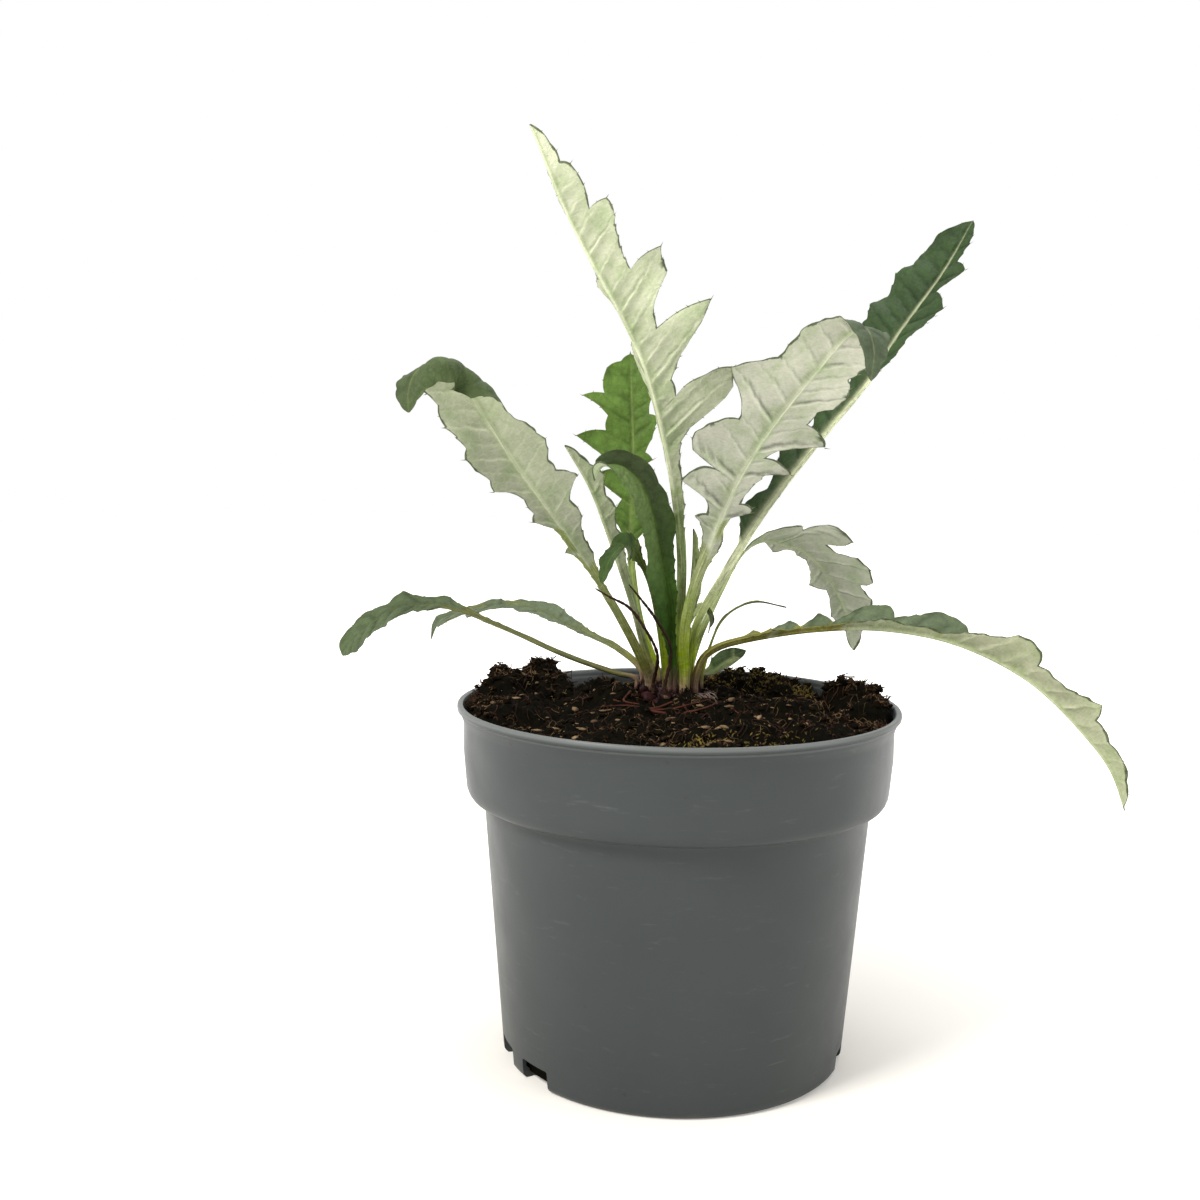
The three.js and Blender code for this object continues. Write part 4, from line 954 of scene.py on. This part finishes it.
def pot_material():
    shader = Shader("pot_plastic", Specular_IOR_Level=0.24)
    cloud = shader.noise(9, 5, 0.6)
    colour = shader.ramp(cloud, (0.25, (0.03, 0.0355, 0.036)), (0.75, (0.042, 0.0485, 0.049)))
    rubbed = shader.ramp(shader.noise(60, 6, 0.7, stretch=(1, 1, 6)), (0.6, 0.0), (0.78, 1.0))
    colour = shader.spread(colour, rubbed, 0.14, (0.24, 0.25, 0.24))
    scratch = shader.ramp(shader.noise(60, 2, 0.5, stretch=(1, 1, 9)), (0.7, 0.0), (0.75, 1.0))
    patches = shader.ramp(shader.noise(14, 2, 0.5), (0.48, 0.0), (0.62, 1.0))
    colour = shader.spread(colour, shader.math("MULTIPLY", scratch, patches), 0.07, (0.3, 0.3, 0.28))
    dirt = shader.ramp(shader.noise(170, 3, 0.6), (0.7, 0.0), (0.76, 1.0))
    colour = shader.spread(colour, dirt, 0.6, (0.035, 0.025, 0.018))
    streak = shader.ramp(shader.noise(30, 3, 0.5, stretch=(1, 1, 0.08)), (0.66, 0.0), (0.76, 1.0))
    colour = shader.spread(colour, streak, 0.3, (0.1, 0.075, 0.05))
    height = shader.add("SeparateXYZ", "Z", {0: shader.object_place})
    in_lip = shader.math("SUBTRACT", height, (POT_HEIGHT - LIP_BAND) * MM)
    in_lip = shader.math("MULTIPLY", in_lip, 1 / (LIP_BAND * MM))
    # Painted highlights: a faint light line a little below the top of the lip and a brighter one along its
    # top edge.
    lip_highlight_lines = shader.ramp(in_lip, (0.12, 0.0), (0.24, 0.5), (0.34, 0.5), (0.45, 0.0), (0.6, 0.1), (0.8, 1.0))
    colour = shader.spread(colour, lip_highlight_lines, 0.5, (0.2, 0.21, 0.2))
    roughness = shader.ramp(shader.noise(40, 5, 0.6), (0.3, 0.34), (0.75, 0.48))
    normal = shader.bump(shader.noise(900, 3, 0.6), 0.12, 0.0002)
    normal = shader.bump(shader.noise(25, 3, 0.5), 0.12, 0.0012, normal)
    return shader.set(Base_Color=colour, Roughness=roughness, Normal=normal)


pot = mesh_object("pot_look", *lathe(pot_profile(), POT_SIDES), [pot_material()])
cut_drains(pot)
pot.data.set_sharp_from_angle(angle=math.radians(38))
dress(pot, "pot", "pot")


# Soil
def small_clods():
    """The same small clods as in the part's source, drawn from the same plain number sequence."""
    state = 7

    def draw():
        nonlocal state
        state = (state * 1664525 + 1013904223) % 2 ** 32
        return state / 2 ** 32

    clods = []
    for _ in range(SMALL_CLODS):
        angle = 2 * math.pi * draw()
        distance = 72 * math.sqrt(draw())
        radius = 5 + 6 * draw()
        clods.append([distance * math.cos(angle), distance * math.sin(angle), radius, 0.25 * radius])
    return clods


CLODS = MOUNDS + small_clods()


def soil_height(x, y):
    height = SOIL_LEVEL
    for cx, cy, radius, rise in CLODS:
        near = 1 - ((x - cx) ** 2 + (y - cy) ** 2) / radius ** 2
        if near > 0:
            height += rise * near * (2 - near)
    return height


def rough_soil(x, y):
    """The height with the crumbs and grains that the coarse solid leaves out."""
    spot = Vector((x, y, 0))
    crumbs = 2.0 * noise.fractal(spot * 0.16, 1.0, 2.1, 5)
    bent = spot + 3 * noise.noise_vector(spot * 0.25)
    lumps = 1.6 * (0.5 - noise.voronoi(bent * 0.2)[0][0])
    grains = 0.9 * (0.45 - noise.voronoi(bent * 0.62)[0][0])
    return soil_height(x, y) + crumbs + lumps + grains


def soil_piece(material):
    """The soil's rough top on a plain body that narrows down to the pot's floor."""
    points = [(0, 0, rough_soil(0, 0))]
    for k in range(1, SOIL_RINGS + 1):
        radius = SOIL_REACH * (k / SOIL_RINGS) ** 0.82
        sunk = 1.5 * (1 - min(1, (SOIL_REACH - radius) / 3)) ** 2
        points += [(x, y, rough_soil(x, y) - sunk) for x, y, _ in circle(radius, 0, SOIL_SECTORS)]
    body = ((SOIL_REACH - 1.5, 108), (70, 99), (BASE_RADIUS - 3, 2.4))
    for radius, height in body:
        points += circle(radius, height, SOIL_SECTORS)
    rings = SOIL_RINGS + len(body)
    faces = [[0, a, b] for a, b in neighbours(1, SOIL_SECTORS, first=1)]
    faces += [[a, a + SOIL_SECTORS, b + SOIL_SECTORS, b]
              for a, b in neighbours(rings - 1, SOIL_SECTORS, first=1)]
    faces.append(list(range(len(points) - SOIL_SECTORS, len(points)))[::-1])
    return mesh_object("soil_look", points, faces, [material])


def peat_material(name, dark, pale):
    shader = Shader(name, Specular_IOR_Level=0.02)
    grain = shader.noise(260, 8, 0.7)
    colour = shader.ramp(grain, (0.3, dark), (0.72, pale))
    fibre = shader.ramp(shader.noise(420, 3, 0.6, stretch=(1, 0.25, 1)), (0.66, 0.0), (0.74, 1.0))
    colour = shader.spread(colour, fibre, 0.35, (0.075, 0.045, 0.022))
    roughness = shader.ramp(grain, (0.3, 0.75), (0.7, 0.95))
    return shader.set(Base_Color=colour, Roughness=roughness, Normal=shader.bump(grain, 0.8, 0.0008))


def speck_material(name, dark, pale, scale, roughness=0.8):
    shader = Shader(name, Roughness=roughness, Specular_IOR_Level=0.08)
    grain = shader.noise(scale, 5, 0.65)
    colour = shader.ramp(grain, (0.3, dark), (0.7, pale))
    return shader.set(Base_Color=colour, Normal=shader.bump(grain, 0.5, 0.0004))


def blob(chooser, centre, radii, detail, rough):
    """A lumpy grain: an icosphere pushed in and out."""
    ball = bmesh.new()
    bmesh.ops.create_icosphere(ball, subdivisions=detail, radius=1)
    turn = Matrix.Rotation(chooser.uniform(0, 6.28), 3, "Z")
    turn = turn @ Matrix.Rotation(chooser.uniform(-0.7, 0.7), 3, "X")
    shift = Vector([chooser.uniform(0, 50) for _ in range(3)])
    points = []
    for vertex in ball.verts:
        grown = vertex.co * (1 + rough * noise.noise(vertex.co * 1.7 + shift) * 2)
        spot = turn @ Vector((grown.x * radii[0], grown.y * radii[1], grown.z * radii[2]))
        points.append(tuple(Vector(centre) + spot))
    faces = [[vertex.index for vertex in face.verts] for face in ball.faces]
    ball.free()
    return points, faces


def tube(path, radii, sides, flat=1.0):
    """A closed tube along path, with a radius for each of its points. flat squeezes it one way."""
    path = np.asarray(path, float)
    along = unit(np.gradient(path, axis=0))
    side = unit(np.cross(along[0], [0.31, 0.17, 0.93]))
    points = []
    for spot, direction, radius in zip(path, along, radii):
        side = unit(side - direction * (side @ direction))
        other = np.cross(direction, side)
        for k in range(sides):
            angle = 2 * math.pi * k / sides
            points.append(tuple(spot + radius * (side * math.cos(angle) + other * flat * math.sin(angle))))
    return closed_rings(points, sides)


def heap(name, parts, material):
    """Joins (points, faces) parts into one object."""
    points = []
    faces = []
    for part_points, part_faces in parts:
        start = len(points)
        points += part_points
        faces += [[start + corner for corner in face] for face in part_faces]
    return mesh_object(name, points, faces, [material])


def spot_in_pot(chooser, reach):
    angle = chooser.uniform(0, 2 * math.pi)
    distance = reach * math.sqrt(chooser.random())
    return distance * math.cos(angle), distance * math.sin(angle)


def clods_in_heaps():
    """Places and sizes of the clods in the heaps, the same at each call."""
    chooser = random.Random(3)
    clods = []
    for cx, cy, spread, count, largest in HEAPS:
        for _ in range(count):
            x = chooser.gauss(cx, spread)
            y = chooser.gauss(cy, spread)
            far = max(1, math.hypot(x, y) / chooser.uniform(74, 78.6))
            clods.append((x / far, y / far, chooser.uniform(0.7, largest)))
    return clods


def crumb_parts(chooser):
    for _ in range(CRUMBS):
        x, y = spot_in_pot(chooser, SOIL_EDGE)
        size = 0.35 + 1.5 * chooser.random() ** 3
        place = (x, y, rough_soil(x, y) + 0.2 * size)
        yield blob(chooser, place, (size, size * 0.7, size * 0.5), 1, 0.45)
    for x, y, size in clods_in_heaps():
        place = (x, y, rough_soil(x, y) + 0.25 * size)
        yield blob(chooser, place, (size, size * chooser.uniform(0.5, 0.9), size * 0.6), 2, 0.55)


def lying_fibre(chooser, longest):
    """The path of a bent fibre on the soil, as far as it stays in the pot."""
    x, y = spot_in_pot(chooser, LITTER_REACH)
    heading = chooser.uniform(0, 2 * math.pi)
    bend = chooser.uniform(-0.7, 0.7)
    length = chooser.uniform(0.3, 1) * longest
    arch = chooser.uniform(0.1, 1.4)
    path = []
    for k in range(7):
        path.append((x, y, rough_soil(x, y) + 0.2 + arch * math.sin(math.pi * k / 6)))
        x += length / 6 * math.cos(heading)
        y += length / 6 * math.sin(heading)
        heading += bend
        if math.hypot(x, y) > SOIL_EDGE:
            break
    return path


def fibre_parts(chooser, count, longest, thickest):
    """Fibres that lie on the soil, and shorter ones that stick out of the clods."""
    for _ in range(count):
        path = lying_fibre(chooser, longest)
        if len(path) > 2:
            yield tube(path, np.linspace(1, 0.4, len(path)) * chooser.uniform(0.4, 1) * thickest, 4)
    for x, y, size in clods_in_heaps():
        for _ in range(2):
            heading = chooser.uniform(0, 2 * math.pi)
            rise = chooser.uniform(-0.3, 0.9)
            reach = size * chooser.uniform(0.8, 1.8)
            out = np.array([math.cos(heading), math.sin(heading), rise]) * reach
            foot = np.array([x, y, rough_soil(x, y) + 0.5 * size])
            curl = np.array([chooser.gauss(0, 0.3) for _ in range(3)]) * reach
            path = [foot, foot + 0.5 * out + curl, foot + out]
            if math.hypot(*path[-1][:2]) < 80:
                yield tube(path, np.array([1, 0.8, 0.4]) * chooser.uniform(0.6, 1.5) * thickest, 4)


def chip_parts(chooser, count, largest):
    """Flat flakes and bits of bark."""
    for _ in range(count):
        x, y = spot_in_pot(chooser, LITTER_REACH)
        size = (0.2 + 0.8 * chooser.random() ** 3) * largest
        place = (x, y, rough_soil(x, y) + 0.3 * size)
        yield blob(chooser, place, (size, size * chooser.uniform(0.3, 0.7), size * 0.25), 1, 0.3)


def moss_parts(chooser):
    for cx, cy, radius, count in MOSS:
        for _ in range(count):
            x = chooser.gauss(cx, radius / 2)
            y = chooser.gauss(cy, radius / 2)
            if math.hypot(x, y) > SOIL_EDGE:
                continue
            lean = (chooser.gauss(0, 0.8), chooser.gauss(0, 0.8))
            height = chooser.uniform(0.5, 1.3)
            foot = rough_soil(x, y) - 0.3
            path = [(x + lean[0] * height * t, y + lean[1] * height * t, foot + height * t)
                    for t in (0, 0.5, 1)]
            yield tube(path, (0.2, 0.3, 0.08), 4)


chooser = random.Random(31)
peat = peat_material("peat", (0.0012, 0.0011, 0.0007), (0.0068, 0.0054, 0.003))
dress(soil_piece(peat), "soil", "soil")
crumb = peat_material("peat_crumb", (0.0017, 0.0014, 0.0009), (0.0125, 0.0085, 0.0042))
dress(heap("soil_crumbs", crumb_parts(chooser), crumb), "soil")
fibre = speck_material("peat_fibre", (0.022, 0.013, 0.005), (0.2, 0.13, 0.06), 130)
dress(heap("soil_fibres", fibre_parts(chooser, 220, 8, 0.16), fibre), "soil")
thread = speck_material("peat_thread", (0.003, 0.0017, 0.001), (0.045, 0.02, 0.011), 150)
dress(heap("soil_threads", fibre_parts(chooser, 600, 7, 0.32), thread), "soil")
chip = speck_material("bark_chip", (0.02, 0.01, 0.005), (0.3, 0.2, 0.11), 90)
dress(heap("soil_chips", chip_parts(chooser, 320, 2.6), chip), "soil")
moss = speck_material("moss", (0.015, 0.012, 0.003), (0.2, 0.145, 0.035), 160)
dress(heap("soil_moss", moss_parts(chooser), moss), "soil")


# Crown and dried stalks
def curve_tube(points, radii, sides, wrinkle, steps=8):
    """A wrinkled tube along a smooth curve through points, with radii at even steps along it."""
    path = smooth_curve(points, steps)
    share = np.linspace(0, 1, len(path))
    thick = np.interp(share, np.linspace(0, 1, len(radii)), radii)
    thick = thick * (1 + wrinkle * np.sin(share * 47) * np.sin(share * 131 + 1))
    return tube(path, thick, sides)


def crown_body():
    """The knob of the crown on its taproot, wrinkled."""
    profile = [(0.05, 60), (2.5, 60.5), (5, 94), (9, 110), (14, 121), (15.6, 127), (15.2, 130.5), (12, 132.6),
               (6, 133.6), (0.05, CROWN_TOP - 0.2)]
    share = np.linspace(0, 1, 60)
    knots = np.linspace(0, 1, len(profile))
    points, faces = lathe(zip(*(np.interp(share, knots, column) for column in zip(*profile))), 96)
    rough = []
    for x, y, z in points:
        spot = Vector((x * 0.22, y * 0.22, z * 0.09))
        swell = 1 + 0.12 * noise.noise(spot) + 0.05 * noise.noise(spot * 4)
        rough.append((CROWN_X + x * swell, CROWN_Y + y * swell, z))
    return rough, faces


def crown_lumps(chooser):
    """Old leaf bases round the knob: short broken scales standing close together."""
    for ring, count, height, foot in ((15, 17, 5.0, 126), (11, 12, 6.0, 129), (6, 7, 4.5, 129)):
        for k in range(count):
            angle = 2 * math.pi * (k + chooser.uniform(-0.3, 0.3)) / count
            x = CROWN_X + ring * math.cos(angle)
            y = CROWN_Y + ring * math.sin(angle)
            lean = chooser.uniform(0.05, 0.28)
            tall = height * chooser.uniform(0.5, 1.1)
            path = [(x + lean * t * tall * math.cos(angle), y + lean * t * tall * math.sin(angle),
                     foot + t * (tall + 3)) for t in (0, 0.4, 0.8, 1)]
            wide = chooser.uniform(1.3, 2.4)
            yield tube(path, (wide, wide, 0.8 * wide, 0.25 * wide), 9, 0.6)
    for place in CROWN_KNOBS:
        size = chooser.uniform(1.8, 3.0)
        yield blob(chooser, place, (size, 0.8 * size, 0.9 * size), 2, 0.5)


def root_parts(chooser):
    """Reddish roots that lie bare in front of the crown, and one bent root at its right."""
    for route in ROOT_ROUTES:
        points = [(x, y, rough_soil(x, y) + chooser.uniform(0.3, 1.1)) for x, y in route]
        thick = chooser.uniform(0.35, 0.6)
        yield curve_tube(points, (thick, thick * 0.8, thick * 0.35), 7, 0.15)


def hairy_base(chooser):
    """Pale hairs of a dead leaf base on the right of the crown."""
    for _ in range(CROWN_HAIRS):
        angle = chooser.gauss(-0.55, 0.35)
        ring = chooser.uniform(12.5, 16)
        x = CROWN_X + ring * math.cos(angle)
        y = CROWN_Y + ring * math.sin(angle)
        z = chooser.uniform(129, 134)
        tilt = math.sin(chooser.gauss(0, 0.5))
        reach = chooser.uniform(2.5, 5.5)
        path = [(x, y, z), (x + reach * 0.4, y - reach * 0.5, z + reach * 0.3 * tilt),
                (x + reach * 0.7, y - reach * 0.9, z - reach * 0.3 + reach * 0.6 * tilt)]
        yield tube(path, (0.13, 0.1, 0.05), 3)


bark = speck_material("crown_bark", (0.005, 0.0015, 0.0015), (0.032, 0.008, 0.008), 300, 0.5)
dress(heap("crown_look", [crown_body(), *crown_lumps(chooser)], bark), "crown", "crown")
red_root = speck_material("red_root", (0.015, 0.004, 0.002), (0.1, 0.03, 0.018), 250, 0.6)
dress(heap("crown_roots", root_parts(chooser), red_root), "crown")
pale_hair = speck_material("dead_leaf_base", (0.2, 0.13, 0.1), (0.48, 0.38, 0.32), 700, 0.85)
dress(heap("crown_hairs", hairy_base(chooser), pale_hair), "crown")
dry = speck_material("dried_stalk", (0.006, 0.003, 0.002), (0.05, 0.024, 0.014), 420, 0.6)
for name, foot, spine in STALKS:
    path = [[*foot, LEAF_SEAT], [*foot, LEAF_SEAT + FIRST_RISE], *spine]
    stalk = heap(name + "_look", [curve_tube(path, STALK_RADII, 12, 0.22, 24)], dry)
    dress(stalk, "dried_stalk", name)


# Floor, light and camera, in metres
def floor():
    """A pale floor that glows, which is painted light: faintly and in cream round the pot, a painted soft
    shadow, and brighter further out, where it runs out into the white of the room.
    """
    points = [point for radius in FLOOR_RINGS for point in circle(radius, 0, FLOOR_SIDES)]
    middle = len(points)
    points.append((0, 0, 0))
    faces = [[a, b, middle] for a, b in neighbours(1, FLOOR_SIDES)]
    faces += [[a, a + FLOOR_SIDES, b + FLOOR_SIDES, b]
              for a, b in neighbours(len(FLOOR_RINGS) - 1, FLOOR_SIDES)]
    # The emission colour is the tint of the floor's painted glow.
    shader = Shader("floor", Roughness=0.8, Specular_IOR_Level=0.05, Emission_Color=(1.0, 0.975, 0.93, 1))
    distance = shader.add("VectorMath", "Value", {0: shader.object_place}, operation="LENGTH")
    # Painted light: the floor glows more the further it is from the pot.
    far = shader.ramp(distance, (0.05, 0.16), (0.3, 0.6), (0.65, 1.0))
    # Painted soft shadow: the floor is cream round the pot, where its glow is faint.
    cream = shader.ramp(shader.noise(3, 2), (0.3, (0.8, 0.76, 0.69)), (0.7, (0.83, 0.79, 0.72)))
    shader.set(Base_Color=shader.mix(far, cream, (0.9, 0.9, 0.9)), Emission_Strength=far)
    mesh = bpy.data.meshes.new("floor")
    mesh.from_pydata(points, [], faces)
    mesh.materials.append(shader.material)
    piece = show("floor", mesh)


def lamp(name, place, size, power, colour):
    light = bpy.data.lights.new(name, "AREA")
    light.shape = "DISK"
    light.size = size
    light.energy = power
    light.color = colour
    holder = show(name, light)
    holder.location = place
    holder.rotation_euler = (Vector(LAMP_TARGET) - Vector(place)).to_track_quat("-Z", "Y").to_euler()


def place_camera():
    """The photograph's camera, fitted to the pot's rim and base."""
    down, left, roll = (math.radians(angle) for angle in CAMERA_ANGLES)
    right = Vector((math.cos(left), math.sin(left), 0))
    ahead = Vector((-math.sin(left), math.cos(left), 0))
    view = ahead * math.cos(down) - Vector((0, 0, math.sin(down)))
    up = ahead * math.sin(down) + Vector((0, 0, math.cos(down)))
    x_axis = math.cos(roll) * right + math.sin(roll) * up
    y_axis = math.cos(roll) * up - math.sin(roll) * right
    lens = bpy.data.cameras.new("camera")
    lens.sensor_fit = "HORIZONTAL"
    lens.sensor_width = 36
    lens.lens = FOCAL_LENGTH
    lens.clip_start = 0.01
    camera = show("camera", lens)
    turn = Matrix((x_axis, y_axis, -view)).transposed().to_4x4()
    camera.matrix_world = Matrix.Translation(CAMERA_PLACE) @ turn
    bpy.context.scene.camera = camera


def studio_world():
    """A white room. It lights matt surfaces less than it looks, so that the lamps still shape the plant."""
    world = bpy.data.worlds.new("studio")
    world.use_nodes = True
    tree = world.node_tree
    white = (1, 1, 1, 1)
    seen = tree.nodes["Background"]
    seen.inputs["Color"].default_value = white
    seen.inputs["Strength"].default_value = 1.0
    soft = add_node(tree, "Background", "Background", {"Color": white, "Strength": 0.4})
    on_matt = add_node(tree, "LightPath", "Is Diffuse Ray", {})
    chosen = add_node(tree, "MixShader", "Shader", {0: on_matt, 1: seen.outputs[0], 2: soft})
    plug(tree, tree.nodes["World Output"].inputs["Surface"], chosen)
    bpy.context.scene.world = world


floor()
for settings in LAMPS:
    lamp(*settings)
studio_world()
bpy.context.scene.view_settings.view_transform = "Standard"
place_camera()
